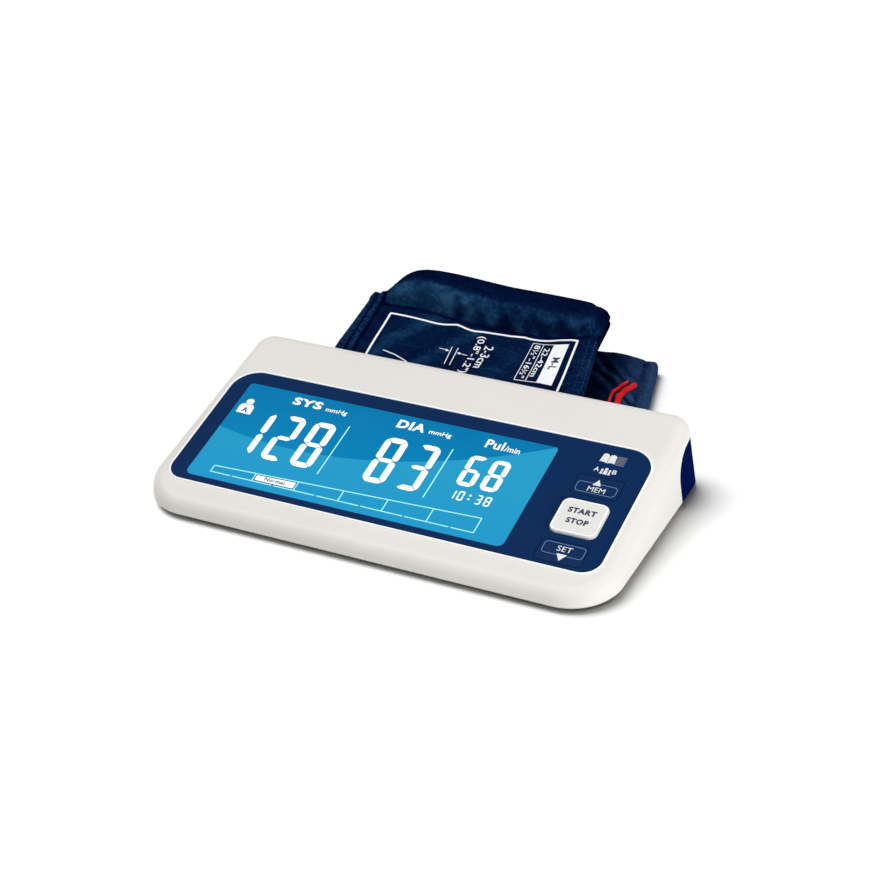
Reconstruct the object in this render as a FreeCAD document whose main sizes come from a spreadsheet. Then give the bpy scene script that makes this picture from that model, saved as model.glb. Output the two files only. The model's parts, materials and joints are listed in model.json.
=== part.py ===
# Desktop upper-arm blood pressure monitor with its arm cuff folded behind it. Millimetres, +Z up,
# front towards -Y, origin on the ground under the middle of the whole set.
import FreeCAD, Part
import Sketcher
import math
import os
from types import SimpleNamespace

SIZES = {
    # Housing: a drafted shell under a sloping deck, whose plane rises from face_rise at the
    # fascia's front edge to rear_rise at the back
    "housing_width": 232.5, "housing_depth": 122.6, "plan_corner": 23.5, "rear_corner": 12.5,
    "draft": 7,
    "face_rise": 10.8, "rear_rise": 35.87, "nose": 14, "rim_radius": 5.8, "base_edge": 1.5,
    "wall": 2.6, "deck_seat": 1.6, "floor_thickness": 2.2, "foot_height": 2, "seam": 0.15,
    "fit": 0.2,
    # Rear panel that wraps the back and both rear corners
    "panel_return": 27.4, "panel_drop": 7.8, "panel_corner": 15,
    # Fascia and display, set in from the housing's sides, nose and back
    "fascia_side": 8.75, "fascia_rear": 33.87, "fascia_corner": 13, "fascia_thickness": 1.6,
    "fascia_gap": 0.2, "view_left": 9.2, "view_right": 44.9, "view_front": 8.4, "view_rear": 8.3,
    "view_corner": 2, "glass_overlap": 2.5, "glass_thickness": 1.8, "glass_gap": 0.3,
    "light_gap": 0.4, "frame_rim": 3, "ear_length": 7, "ear_width": 9, "ear_thickness": 1.6,
    "ear_offset": 18,
    # Keys
    "key_margin": 19.1, "key_gap": 0.3, "key_corner": 3.6, "key_flange": 1.2,
    "flange_thickness": 1, "start_width": 22, "start_height": 20.5, "start_up": 29.5,
    "start_rise": 1.3, "start_round": 0.9, "start_travel": 1, "soft_width": 21.5,
    "soft_height": 12, "soft_corner": 2, "mem_up": 50, "set_up": 8.8, "switch_side": 6.2,
    "switch_height": 1.6, "switch_clearance": 0.4, "plunger_radius": 1.5, "plunger_reach": 0.3,
    "plunger_gap": 0.3,
    # Circuit board and its screws
    "board_width": 124, "board_front": 4, "board_rear": 10.7, "board_margin": 3.5,
    "board_thickness": 1.2, "boss_radius": 2.5, "boss_gap": 1.6, "boss_edge": 4,
    "small_pilot": 0.9, "small_hole": 1.1, "small_shank": 0.85, "small_head": 1.8,
    "small_head_height": 1.3, "small_screw": 4.4, "chip_side": 9, "chip_height": 1.4,
    "chip_pitch": 15, "chip_left": 16, "chip_up": 22, "buzzer_radius": 6, "buzzer_height": 4.5,
    "buzzer_mouth": 1.5, "buzzer_left": 12, "buzzer_rear": 8,
    # Case screws, their posts in the cover and the feet
    "post_radius": 3, "post_inset": 13.25, "post_front": 1, "post_middle": 5.5, "post_rear": 30,
    "post_inner": 54.25, "post_inner_rear": 9.7, "post_root": 1, "case_pilot": 1.3,
    "case_shank": 1.2, "case_head": 2.7, "case_head_height": 1, "case_recess": 1.2,
    "case_screw": 5.4, "foot_radius": 6, "foot_seat": 0.8, "foot_inset": 14.25, "foot_front": 12,
    "foot_rear": 19.5, "lip_height": 2, "lip_thickness": 1.4,
    # Battery bay, its door and four cells
    "spring_room": 4.8, "cell_side_gap": 0.45, "bay_wall": 2, "bay_roof": 1.2,
    "bay_left": 24, "bay_rear": 7.8, "door_ledge": 1.2, "door_thickness": 1.7, "door_gap": 0.3,
    "door_seat": 0.1, "hook_width": 9, "hook_thickness": 1.1, "hook_reach": 2.2, "hook_lift": 0.5,
    "hook_spread": 38, "hook_slot": 4.4, "notch_width": 16, "notch_depth": 3,
    "cell_radius": 7.1, "cell_length": 49, "cell_gap": 1.2, "cell_roof_gap": 0.2,
    "cell_floor_gap": 0.2,
    "nub_radius": 2.7, "nub_height": 1.1, "contact_sheet": 0.5, "contact_side": 9,
    # Vent slots in the floor under the circuit board
    "vent_width": 1.8, "vent_length": 15, "vent_pitch": 5, "vent_x": 22, "vent_front": 28,
    # Pump, valve and air line
    "motor_radius": 10.5, "motor_length": 26, "motor_rear": 24, "motor_lift": 1.3,
    "cap_radius": 3.5, "cap_length": 1.6, "head_inset": 31.25, "head_length": 16, "head_side": 20,
    "head_lift": 0.8, "cradle_length": 20, "cradle_width": 22, "cradle_height": 7,
    "cradle_gap": 0.1, "line_gap": 3.5, "line_left": 4, "line_height": 4.8, "manifold_width": 18,
    "manifold_length": 11.5, "manifold_height": 11.8, "manifold_shift": 3, "riser_side": 5,
    "riser_wall": 1, "valve_width": 12, "valve_length": 15, "valve_height": 7.4,
    "port_length": 1.5, "nipple_radius": 1.5, "nipple_bore": 0.8, "nipple_length": 3.4,
    "short_nipple": 1.6, "tube_wall": 0.8, "tube_gap": 0.05, "sensor_width": 12,
    "sensor_length": 11, "sensor_height": 6.5, "sensor_gap": 12, "sensor_port": 4,
    # Sockets in the rear panel
    "air_inset": 26.75, "air_height": 14, "air_barrel": 4, "air_bore": 2.3, "air_bore_depth": 9,
    "air_flange": 5, "air_flange_thickness": 1.5, "socket_proud": 0.6, "socket_gap": 0.1,
    "jack_inset": 36.75, "jack_height": 14.5, "jack_barrel": 4, "jack_bore": 2.8,
    "jack_bore_depth": 9, "jack_width": 9, "jack_length": 7.8, "jack_body_height": 11,
    # Arm cuff, folded and lying behind the housing
    "cuff_gap": 0.4, "cuff_width": 127, "cuff_fold": 74, "cuff_corner": 8, "cuff_turn": 4.5,
    "cuff_shift": -16.5, "cuff_front_top": 25.2, "cuff_seam_top": 33.2, "cuff_roll_top": 46.4,
    "cuff_roll_depth": 30.5, "leaf_sag": 2.6, "cuff_round": 4, "cuff_edge": 2.5,
    "strap_width": 126.5, "strap_fold": 56, "strap_shift": 23.7, "strap_rear": 1.7,
    "strap_turn": 9, "strap_height": 11.4, "strap_end": 6.6, "strap_fall": 29,
    "strap_edge": 2, "layer_gap": 0.3, "bladder_width": 104, "bladder_length": 52,
    "bladder_thickness": 2.6, "bladder_lift": 15.5, "bladder_gap": 0.3, "patch_width": 22,
    "patch_length": 46, "patch_thickness": 1, "patch_left": 6, "tab_width": 6, "tab_length": 24,
    "tab_thickness": 1.6, "tab_inset": 13, "tab_front": 13, "port_front": 8, "port_radius": 4.5,
    "port_height": 3,
    "hose_radius": 2.2, "hose_bore": 1.1, "hose_length": 7,
}


class Dim:
    """A length or angle that carries its number and the spreadsheet expression behind it."""

    def __init__(self, value, text):
        self.value, self.text = value, text

    def join(self, other, sign, result):
        text = other.text if isinstance(other, Dim) else repr(other)
        return Dim(result, f"({self.text} {sign} {text})")

    def __add__(self, other):
        return self.join(other, "+", self.value + number(other))

    def __sub__(self, other):
        return self.join(other, "-", self.value - number(other))

    def __mul__(self, other):
        return self.join(other, "*", self.value * number(other))

    def __truediv__(self, other):
        return self.join(other, "/", self.value / number(other))

    def __neg__(self):
        return Dim(-self.value, f"(0 - {self.text})")

    def __radd__(self, other):
        return Dim(float(other), repr(other)) + self

    def __rsub__(self, other):
        return Dim(float(other), repr(other)) - self

    def __rmul__(self, other):
        return Dim(float(other), repr(other)) * self


def number(item):
    return item.value if isinstance(item, Dim) else float(item)


def sine(angle):
    return Dim(math.sin(math.radians(angle.value)), f"sin({angle.text})")


def cosine(angle):
    return Dim(math.cos(math.radians(angle.value)), f"cos({angle.text})")


def tangent(angle):
    return Dim(math.tan(math.radians(angle.value)), f"tan({angle.text})")


def arctangent(slope):
    return Dim(math.degrees(math.atan(slope.value)), f"atan({slope.text})")


def bind(feature, prop, item):
    """Ties a property to its spreadsheet expression, and starts it at the same number."""
    if isinstance(item, Dim):
        feature.setExpression(prop, item.text)
    elif "." not in prop:
        setattr(feature, prop, item)


doc = FreeCAD.newDocument("BloodPressureMonitor")
sheet = doc.addObject("Spreadsheet::Sheet", "Sizes")
for row, (name, size) in enumerate(SIZES.items(), 1):
    sheet.set(f"A{row}", name)
    sheet.set(f"B{row}", str(size))
    sheet.setAlias(f"B{row}", name)
doc.recompute()
d = SimpleNamespace(**{name: Dim(float(sheet.get(name)), f"Sizes.{name}") for name in SIZES})

# Places worked out from the driving sizes
ROOT = Dim(0.0, "0")
tan_tilt = (d.rear_rise - d.face_rise) / (d.housing_depth - d.nose)
tilt = arctangent(tan_tilt)
sin_tilt, cos_tilt = sine(tilt), cosine(tilt)
tan_draft = tangent(d.draft)
cuff_span = ((d.cuff_fold - 2 * d.cuff_corner) * cosine(d.cuff_turn)
             + (d.cuff_width - 2 * d.cuff_corner) * sine(d.cuff_turn) + 2 * d.cuff_corner)
strap_turn = d.cuff_turn + d.strap_turn
strap_reach = (d.strap_fold * cosine(strap_turn) + d.strap_width * sine(strap_turn)) / 2
strap_out = d.strap_rear + strap_reach - cuff_span / 2
side_x = d.housing_width / 2
front_y = -(d.housing_depth + d.cuff_gap + cuff_span + strap_out) / 2
rear_y = front_y + d.housing_depth
middle_y = front_y + d.housing_depth / 2
face_y = front_y + d.nose
face_z = d.foot_height + d.face_rise
floor_z = d.foot_height + d.floor_thickness
deck = d.fascia_thickness + d.deck_seat
fascia_width = d.housing_width - 2 * d.fascia_side
fascia_height = (d.housing_depth - d.nose - d.fascia_rear) / cos_tilt
view_width = fascia_width - d.view_left - d.view_right
view_height = fascia_height - d.view_front - d.view_rear
view_x = (d.view_left - d.view_right) / 2
view_up = d.view_front + view_height / 2
glass_width = view_width + 2 * d.glass_overlap
glass_height = view_height + 2 * d.glass_overlap
key_x = fascia_width / 2 - d.key_margin
board_depth = deck + d.flange_thickness + d.start_travel + d.switch_clearance + d.switch_height
board_back = board_depth + d.board_thickness
board_length = fascia_height - d.board_front - d.board_rear
board_x = fascia_width / 2 - d.board_margin - d.board_width / 2
cell_pitch = 2 * d.cell_radius + d.cell_gap
bay_length = 2 * (d.cell_length + d.nub_height + d.contact_sheet) + d.spring_room
bay_width = cell_pitch + 2 * d.cell_radius + 2 * d.cell_side_gap
bay_x = d.bay_left + bay_length / 2 - side_x
bay_y = rear_y - d.bay_rear - bay_width / 2
door_top = d.foot_height + d.door_thickness
door_front = bay_y - bay_width / 2 - d.door_ledge + d.door_gap
door_rear = bay_y + bay_width / 2 + d.door_ledge - d.door_gap
cell_z = door_top + d.cell_floor_gap + d.cell_radius
bay_roof_z = cell_z + d.cell_radius + d.cell_roof_gap
air_x, jack_x = side_x - d.air_inset, side_x - d.jack_inset
head_left = side_x - d.head_inset - d.head_length
motor_left = head_left - d.motor_length
motor_y = rear_y - d.motor_rear
motor_z = floor_z + d.motor_lift + d.motor_radius
manifold_x = air_x - d.manifold_shift
manifold_left = manifold_x - d.manifold_width / 2
manifold_rear = motor_y - d.head_side / 2 - d.line_gap
manifold_front = manifold_rear - d.manifold_length
pump_port = (manifold_left + d.line_left, floor_z + d.line_height)
sensor_right = manifold_left - d.sensor_gap
sensor_y = manifold_front + d.riser_side / 2
sensor_up = (sensor_y - face_y - (board_back + d.sensor_port) * sin_tilt) / cos_tilt
cuff_x, cuff_y = d.cuff_shift, rear_y + d.cuff_gap + cuff_span / 2
strap_x, strap_y = cuff_x + d.strap_shift, cuff_y + d.strap_rear


def slope_point(up, depth):
    """World y and z of a point on the sloping face: up along it, depth square to it, inwards."""
    return (face_y + up * cos_tilt + depth * sin_tilt, face_z + up * sin_tilt - depth * cos_tilt)


def ceiling_z(y):
    """Height of the deck's underside over a world y."""
    return face_z + (y - face_y) * tan_tilt - deck / cos_tilt


def origin_plane(body, role):
    return next(item for item in body.Origin.OriginFeatures if item.Role == role)


def new_body(name):
    body = doc.addObject("PartDesign::Body", name)
    body.Label = name
    return body


class Outline:
    """A sketch whose shapes are placed and sized by spreadsheet expressions."""

    def __init__(self, body, at=(0, 0, 0), plane="XY_Plane", tilt=None):
        self.sketch = body.newObject("Sketcher::SketchObject", f"{body.Name}_outline")
        self.sketch.AttachmentSupport = (origin_plane(body, plane), [""])
        self.sketch.MapMode = "FlatFace"
        angle = number(tilt) if tilt is not None else 0.0
        turn = FreeCAD.Rotation(FreeCAD.Vector(1, 0, 0), angle)
        spot = FreeCAD.Vector(*[number(item) for item in at])
        self.sketch.AttachmentOffset = FreeCAD.Placement(spot, turn)
        for axis, item in zip("xyz", at):
            bind(self.sketch, f"AttachmentOffset.Base.{axis}", item)
        if tilt is not None:
            bind(self.sketch, "AttachmentOffset.Rotation.Angle", tilt)

    def rule(self, *parts):
        """Adds one constraint; a Dim as its last part is bound to the sheet."""
        item = parts[-1]
        if isinstance(item, Dim):
            index = self.sketch.addConstraint(Sketcher.Constraint(*parts[:-1], item.value))
            self.sketch.setExpression(f"Constraints[{index}]", item.text)
        else:
            self.sketch.addConstraint(Sketcher.Constraint(*parts))

    def spot(self, shape, point, x, y):
        """Fixes a point of a shape at (x, y) from the sketch's origin."""
        for kind, item in (("DistanceX", x), ("DistanceY", y)):
            item = item if isinstance(item, Dim) else float(item)
            self.rule(kind, -1, 1, shape, point, item)

    def circle(self, x, y, radius):
        centre = FreeCAD.Vector(number(x), number(y), 0)
        up = FreeCAD.Vector(0, 0, 1)
        shape = self.sketch.addGeometry(Part.Circle(centre, up, number(radius)), False)
        self.spot(shape, 3, x, y)
        self.rule("Radius", shape, radius)
        return self

    def polygon(self, points):
        corners = [FreeCAD.Vector(number(x), number(y), 0) for x, y in points]
        ends = corners[1:] + corners[:1]
        lines = [self.sketch.addGeometry(Part.LineSegment(a, b), False)
                 for a, b in zip(corners, ends)]
        for line, after in zip(lines, lines[1:] + lines[:1]):
            self.rule("Coincident", line, 2, after, 1)
        for line, (x, y) in zip(lines, points):
            self.spot(line, 1, x, y)
        return self

    def rounded(self, width, height, radius, x=0, y=0, rear=None):
        """A rectangle about (x, y) with corner arcs: four equal ones, or a rear pair of its own."""
        quarters = ((1, -1, -90), (1, 1, 0), (-1, 1, 90), (-1, -1, 180))
        spots, arcs = [], []
        for right, top, start in quarters:
            turn = radius if rear is None or top < 0 else rear
            spots.append(((width / 2 - turn) * right + x, (height / 2 - turn) * top + y))
            centre = FreeCAD.Vector(number(spots[-1][0]), number(spots[-1][1]), 0)
            ring = Part.Circle(centre, FreeCAD.Vector(0, 0, 1), number(turn))
            sweep = Part.ArcOfCircle(ring, math.radians(start), math.radians(start + 90))
            arcs.append(self.sketch.addGeometry(sweep, False))
        for index, arc in enumerate(arcs):
            after = arcs[(index + 1) % 4]
            a = self.sketch.Geometry[arc].EndPoint
            b = self.sketch.Geometry[after].StartPoint
            line = self.sketch.addGeometry(Part.LineSegment(a, b), False)
            self.rule("Tangent", arc, 2, line, 1)
            self.rule("Tangent", line, 2, after, 1)
        for arc, (cx, cy) in zip(arcs, spots):
            self.spot(arc, 3, cx, cy)
        self.rule("Equal", arcs[0], arcs[3])
        self.rule("Equal", arcs[1], arcs[2])
        self.rule("Radius", arcs[0], radius)
        if rear is None:
            self.rule("Equal", arcs[0], arcs[1])
        else:
            self.rule("Radius", arcs[1], rear)
        return self

    def rectangle(self, width, height, x=0, y=0):
        left, right = x - width / 2, x + width / 2
        low, high = y - height / 2, y + height / 2
        return self.polygon([(left, low), (right, low), (right, high), (left, high)])


def extrude(kind, body, outline, length=None, up=True, taper=None, both=False):
    """Pad or Pocket of an outline. up means along the sketch's normal; no length cuts through."""
    feature = body.newObject(f"PartDesign::{kind}", f"{body.Name}_{kind.lower()}")
    feature.Profile = (outline.sketch, [""])
    if length is None:
        feature.Type = "ThroughAll"
    else:
        bind(feature, "Length", length)
    feature.SideType = "Symmetric" if both else "One side"
    feature.Reversed = up if kind == "Pocket" else not up
    if taper is not None:
        bind(feature, "TaperAngle", taper)
    doc.recompute()
    return feature


def pad(body, outline, length, **how):
    return extrude("Pad", body, outline, length, **how)


def pocket(body, outline, length=None, **how):
    return extrude("Pocket", body, outline, length, **how)


def dress(kind, body, edges, prop, size):
    """Fillet or Chamfer on the named edges of the body's tip."""
    feature = body.newObject(f"PartDesign::{kind}", f"{body.Name}_{kind.lower()}")
    feature.Base = (body.Tip if body.Tip != feature else feature.BaseFeature, edges)
    bind(feature, prop, size)
    doc.recompute()
    return feature


def flat_edges(shape, direction):
    """Names of the outer edges of the flat face that lies furthest along a direction."""
    way = FreeCAD.Vector(*direction).normalize()
    flat = [face for face in shape.Faces if isinstance(face.Surface, Part.Plane)
            and face.normalAt(0, 0).dot(way) > 0.9999]
    far = max(flat, key=lambda face: (round(face.CenterOfMass.dot(way), 3), face.Area))
    wanted = far.OuterWire.Edges
    return [f"Edge{index}" for index, edge in enumerate(shape.Edges, 1)
            if any(edge.isSame(item) for item in wanted)]


def deck_normal():
    return (0, -sin_tilt.value, cos_tilt.value)


def shell_form(body, inset, drop, rim=None, base=None):
    """The housing's drafted outline under the sloping deck, moved in by inset and down by drop."""
    start = Outline(body, (0, middle_y, d.foot_height))
    start.rounded(d.housing_width - 2 * inset, d.housing_depth - 2 * inset, d.plan_corner - inset,
                  rear=d.rear_corner - inset)
    tall = d.rear_rise
    pad(body, start, tall, taper=-d.draft)
    top = Outline(body, (0, *slope_point(ROOT, drop)), tilt=tilt)
    top.rectangle(d.housing_width * 2, d.housing_depth * 4)
    pocket(body, top)
    if rim is not None:
        dress("Fillet", body, flat_edges(body.Shape, deck_normal()), "Radius", rim)
    if base is not None:
        dress("Chamfer", body, flat_edges(body.Shape, (0, 0, -1)), "Size", base)


def hollow(body):
    """Cuts the housing's inside out of a body."""
    inside = new_body(f"{body.Name}_inside")
    shell_form(inside, d.wall, deck)
    cut = body.newObject("PartDesign::Boolean", f"{body.Name}_hollow")
    cut.setObjects([inside])
    cut.Type = "Cut"
    doc.recompute()


def panel_region(body):
    """Side view of the rear panel's share of the shell: rearwards of its front edge, under a
    line parallel to the deck, with a rounded top front corner."""
    line = Outline(body, plane="YZ_Plane")
    edge = rear_y - d.panel_return
    far = rear_y + d.wall
    low = d.foot_height - d.seam
    start_z = face_z + (edge - face_y) * tan_tilt - d.panel_drop / cos_tilt
    turn = d.panel_corner * cos_tilt / (1 + sin_tilt)
    a, b = (edge, low), (edge, start_z - turn)
    c = (edge + turn * cos_tilt, start_z + turn * sin_tilt)
    e = (far, start_z + (far - edge) * tan_tilt)
    f = (far, low)
    spots = [FreeCAD.Vector(number(x), number(y), 0) for x, y in (a, b, c, e, f)]
    centre = (edge + d.panel_corner, start_z - turn)
    middle = FreeCAD.Vector(number(centre[0]), number(centre[1]), 0)
    sketch = line.sketch
    rise = sketch.addGeometry(Part.LineSegment(spots[0], spots[1]), False)
    ring = Part.Circle(middle, FreeCAD.Vector(0, 0, 1), d.panel_corner.value)
    sweep = Part.ArcOfCircle(ring, math.radians(90 + tilt.value), math.pi)
    arc = sketch.addGeometry(sweep, False)
    slope = sketch.addGeometry(Part.LineSegment(spots[2], spots[3]), False)
    back = sketch.addGeometry(Part.LineSegment(spots[3], spots[4]), False)
    base = sketch.addGeometry(Part.LineSegment(spots[4], spots[0]), False)
    line.rule("Tangent", rise, 2, arc, 2)
    line.rule("Tangent", arc, 1, slope, 1)
    for one, two in ((slope, back), (back, base), (base, rise)):
        line.rule("Coincident", one, 2, two, 1)
    line.spot(rise, 1, *a)
    line.spot(arc, 3, *centre)
    line.spot(back, 1, *e)
    line.spot(base, 1, *f)
    return line


def post_places():
    """x, y of the six case screws: four corners, front middle, and behind the pump."""
    side, front, rear = side_x - d.post_inset, face_y - d.post_front, rear_y - d.post_rear
    return [(-side, front), (side, front), (-side, rear), (side, rear),
            (ROOT, face_y - d.post_middle), (side_x - d.post_inner, rear_y - d.post_inner_rear)]


def boss_places():
    """x and up of the small screws: two ears of the display frame, three in the board."""
    ear_x = view_x - glass_width / 2 - d.glass_gap - d.frame_rim - d.ear_length / 2
    left = key_x - d.start_width / 2 - d.key_flange - d.boss_radius - d.boss_gap
    front, rear = d.board_front + d.boss_edge, d.board_front + board_length - d.boss_edge
    ears = [(ear_x, view_up - d.ear_offset), (ear_x, view_up + d.ear_offset)]
    return ears, [(left, front), (left, (front + rear) / 2), (left, rear)]


def top_cover():
    body = new_body("top_cover")
    shell_form(body, ROOT, ROOT, rim=d.rim_radius, base=d.base_edge)
    hollow(body)
    pocket(body, panel_region(body), both=True)
    for x, y in post_places():
        post = Outline(body, (0, 0, floor_z)).circle(x, y, d.post_radius)
        pad(body, post, ceiling_z(y) + d.post_root - floor_z)
    ears, feet = boss_places()
    for places, depth, grip in ((ears, board_depth - d.ear_thickness, d.ear_thickness),
                                (feet, board_depth, d.board_thickness)):
        bosses = Outline(body, (0, *slope_point(ROOT, depth)), tilt=tilt)
        for x, up in places:
            bosses.circle(x, up, d.boss_radius)
        pad(body, bosses, depth - deck + d.deck_seat / 2)
        pilots = Outline(body, (0, *slope_point(ROOT, depth)), tilt=tilt)
        for x, up in places:
            pilots.circle(x, up, d.small_pilot)
        pocket(body, pilots, d.small_screw - grip + d.fit)
    recess = Outline(body, (0, *slope_point(ROOT, d.fascia_thickness)), tilt=tilt)
    recess.rounded(fascia_width + 2 * d.fascia_gap, fascia_height + 2 * d.fascia_gap,
                   d.fascia_corner + d.fascia_gap, 0, fascia_height / 2)
    pocket(body, recess)
    window = Outline(body, (0, *slope_point(ROOT, deck + d.wall)), tilt=tilt)
    window.rectangle(glass_width + 2 * d.glass_gap, glass_height + 2 * d.glass_gap, view_x, view_up)
    for width, height, corner, up, _ in key_table():
        window.rounded(width + 2 * d.key_gap, height + 2 * d.key_gap, corner + d.key_gap, key_x, up)
    pocket(body, window)
    for x, y in post_places():
        pilot = Outline(body, (0, 0, floor_z)).circle(x, y, d.case_pilot)
        pocket(body, pilot, d.case_screw)
    return body


def rear_panel():
    body = new_body("rear_panel")
    shell_form(body, ROOT, ROOT, rim=d.rim_radius, base=d.base_edge)
    hollow(body)
    keep = new_body("rear_panel_region")
    pad(keep, panel_region(keep), d.housing_width + d.wall, both=True)
    share = body.newObject("PartDesign::Boolean", "rear_panel_share")
    share.setObjects([keep])
    share.Type = "Common"
    doc.recompute()
    holes = Outline(body, (0, 0, -motor_y), plane="XZ_Plane")
    holes.circle(air_x, d.air_height, d.air_barrel + d.socket_gap)
    holes.circle(jack_x, d.jack_height, d.jack_barrel + d.socket_gap)
    pocket(body, holes, up=False)
    return body


def key_table():
    """Width, height, corner radius, place up the slope and rise of the three keys."""
    soft = (d.soft_width, d.soft_height, d.soft_corner)
    return [(d.start_width, d.start_height, d.key_corner, d.start_up, d.start_rise),
            (*soft, d.mem_up, None), (*soft, d.set_up, None)]


def fascia_panel():
    body = new_body("fascia_panel")
    sheet_outline = Outline(body, (0, *slope_point(ROOT, d.fascia_thickness)), tilt=tilt)
    sheet_outline.rounded(fascia_width, fascia_height, d.fascia_corner, 0, fascia_height / 2)
    pad(body, sheet_outline, d.fascia_thickness)
    openings = Outline(body, (0, *slope_point(ROOT, d.fascia_thickness)), tilt=tilt)
    openings.rounded(view_width, view_height, d.view_corner, view_x, view_up)
    for width, height, corner, up, _ in key_table():
        openings.rounded(width + 2 * d.key_gap, height + 2 * d.key_gap, corner + d.key_gap,
                         key_x, up)
    pocket(body, openings)
    return body


def display_lens():
    body = new_body("display_lens")
    lens = Outline(body, (0, *slope_point(ROOT, d.fascia_thickness)), tilt=tilt)
    lens.rounded(view_width, view_height, d.view_corner, view_x, view_up)
    pad(body, lens, d.fascia_thickness)
    return body


def slope_block(name, width, length, thick, x, up, depth):
    """A plate square to the slope: centred on x and up, its outer side at depth."""
    body = new_body(name)
    plate = Outline(body, (0, *slope_point(ROOT, depth)), tilt=tilt)
    plate.rectangle(width, length, x, up)
    pad(body, plate, thick, up=False)
    return body


def lcd_glass():
    return slope_block("lcd_glass", glass_width, glass_height, d.glass_thickness, view_x, view_up,
                       d.fascia_thickness)


def backlight_panel():
    depth = d.fascia_thickness + d.glass_thickness
    return slope_block("backlight_panel", glass_width, glass_height,
                       board_depth - d.light_gap - depth, view_x, view_up, depth)


def lcd_frame():
    """Ring round the glass and backlight, from the deck's underside to the board, with two ears."""
    width = glass_width + 2 * d.glass_gap
    height = glass_height + 2 * d.glass_gap
    body = slope_block("lcd_frame", width + 2 * d.frame_rim, height + 2 * d.frame_rim,
                       board_depth - deck, view_x, view_up, deck)
    ears, _ = boss_places()
    lugs = Outline(body, (0, *slope_point(ROOT, board_depth)), tilt=tilt)
    for x, up in ears:
        lugs.rectangle(d.ear_length, d.ear_width, x, up)
    pad(body, lugs, d.ear_thickness)
    inner = Outline(body, (0, *slope_point(ROOT, board_depth)), tilt=tilt)
    inner.rectangle(width, height, view_x, view_up)
    for x, up in ears:
        inner.circle(x, up, d.small_hole)
    pocket(body, inner)
    return body


def main_board():
    body = slope_block("main_board", d.board_width, board_length, d.board_thickness, board_x,
                       d.board_front + board_length / 2, board_depth)
    _, feet = boss_places()
    holes = Outline(body, (0, *slope_point(ROOT, board_back)), tilt=tilt)
    for x, up in feet:
        holes.circle(x, up, d.small_hole)
    pocket(body, holes)
    return body


def grouped(name, bodies):
    """Separate identical solids kept in one node."""
    group = doc.addObject("Part::Compound", name)
    group.Links = bodies
    group.Label = name
    doc.recompute()
    return group


def board_chips():
    """Three flat chips in a row under the board."""
    bodies = []
    for index in range(3):
        x = board_x - d.board_width / 2 + d.chip_left + d.chip_pitch * index
        bodies.append(slope_block(f"chip_{index + 1}", d.chip_side, d.chip_side, d.chip_height, x,
                                  d.board_front + d.chip_up, board_back))
    return grouped("board_chips", bodies)


def key_switches():
    """Three switch housings on the board, each with a bore for its key's plunger."""
    bodies = []
    for index, (_, _, _, up, _) in enumerate(key_table(), 1):
        top = board_depth - d.switch_height
        body = slope_block(f"switch_{index}", d.switch_side, d.switch_side, d.switch_height,
                           key_x, up, top)
        bore = Outline(body, (0, *slope_point(ROOT, board_depth)), tilt=tilt)
        pocket(body, bore.circle(key_x, up, d.plunger_radius + d.plunger_gap))
        bodies.append(body)
    return grouped("key_switches", bodies)


def key_cap(name, width, height, corner, up, rise):
    """A cap that runs in its opening, with a flange that stops it under the deck."""
    body = new_body(name)
    flange = Outline(body, (0, *slope_point(ROOT, deck + d.flange_thickness)), tilt=tilt)
    flange.rounded(width + 2 * d.key_flange, height + 2 * d.key_flange, corner + d.key_flange,
                   key_x, up)
    pad(body, flange, d.flange_thickness)
    cap = Outline(body, (0, *slope_point(ROOT, deck)), tilt=tilt)
    cap.rounded(width, height, corner, key_x, up)
    pad(body, cap, deck + rise if rise is not None else deck)
    if rise is not None:
        dress("Fillet", body, flat_edges(body.Shape, deck_normal()), "Radius", d.start_round)
    return body


def key_plunger(name, up):
    """The pin under a key that closes its switch."""
    body = new_body(name)
    root = deck + d.flange_thickness
    pin = Outline(body, (0, *slope_point(ROOT, root)), tilt=tilt)
    pin.circle(key_x, up, d.plunger_radius)
    length = d.start_travel + d.switch_clearance + d.plunger_reach
    pad(body, pin, length, up=False)
    return body


def round_bar(name, radius, length, x, y, z, axis="x"):
    """A Part cylinder along x, y or z, starting at the given point."""
    turns = {"x": ((0, 1, 0), 90), "y": ((1, 0, 0), -90), "z": ((0, 0, 1), 0)}
    bar = doc.addObject("Part::Cylinder", name)
    way, angle = turns[axis]
    spot = FreeCAD.Vector(number(x), number(y), number(z))
    bar.Placement = FreeCAD.Placement(spot, FreeCAD.Rotation(FreeCAD.Vector(*way), angle))
    for prop, item in (("Radius", radius), ("Height", length), ("Placement.Base.x", x),
                       ("Placement.Base.y", y), ("Placement.Base.z", z)):
        bind(bar, prop, item)
    return bar


def block(name, width, length, height, x, y, z):
    """A Part box: centred on x and y, standing on z."""
    box = doc.addObject("Part::Box", name)
    left, front = x - width / 2, y - length / 2
    for prop, item in (("Length", width), ("Width", length), ("Height", height),
                       ("Placement.Base.x", left), ("Placement.Base.y", front),
                       ("Placement.Base.z", z)):
        bind(box, prop, item)
    return box


def fuse(name, pieces):
    joined = doc.addObject("Part::MultiFuse", name)
    joined.Shapes = pieces
    joined.Refine = True
    joined.Label = name
    doc.recompute()
    return joined


def cut(name, base, tool):
    result = doc.addObject("Part::Cut", name)
    result.Base, result.Tool = base, tool
    result.Label = name
    doc.recompute()
    return result


def pressure_sensor():
    """Sensor can under the board, with a side nipple for its tube."""
    x = sensor_right - d.sensor_width / 2
    body = slope_block("pressure_sensor", d.sensor_width, d.sensor_length, d.sensor_height, x,
                       sensor_up, board_back)
    nipple = Outline(body, (0, 0, sensor_right), plane="YZ_Plane")
    pad(body, nipple.circle(*sensor_line(), d.nipple_radius), d.nipple_length)
    return body


def sensor_line():
    """y and z of the sensor's tube."""
    return slope_point(sensor_up, board_back + d.sensor_port)


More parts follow.
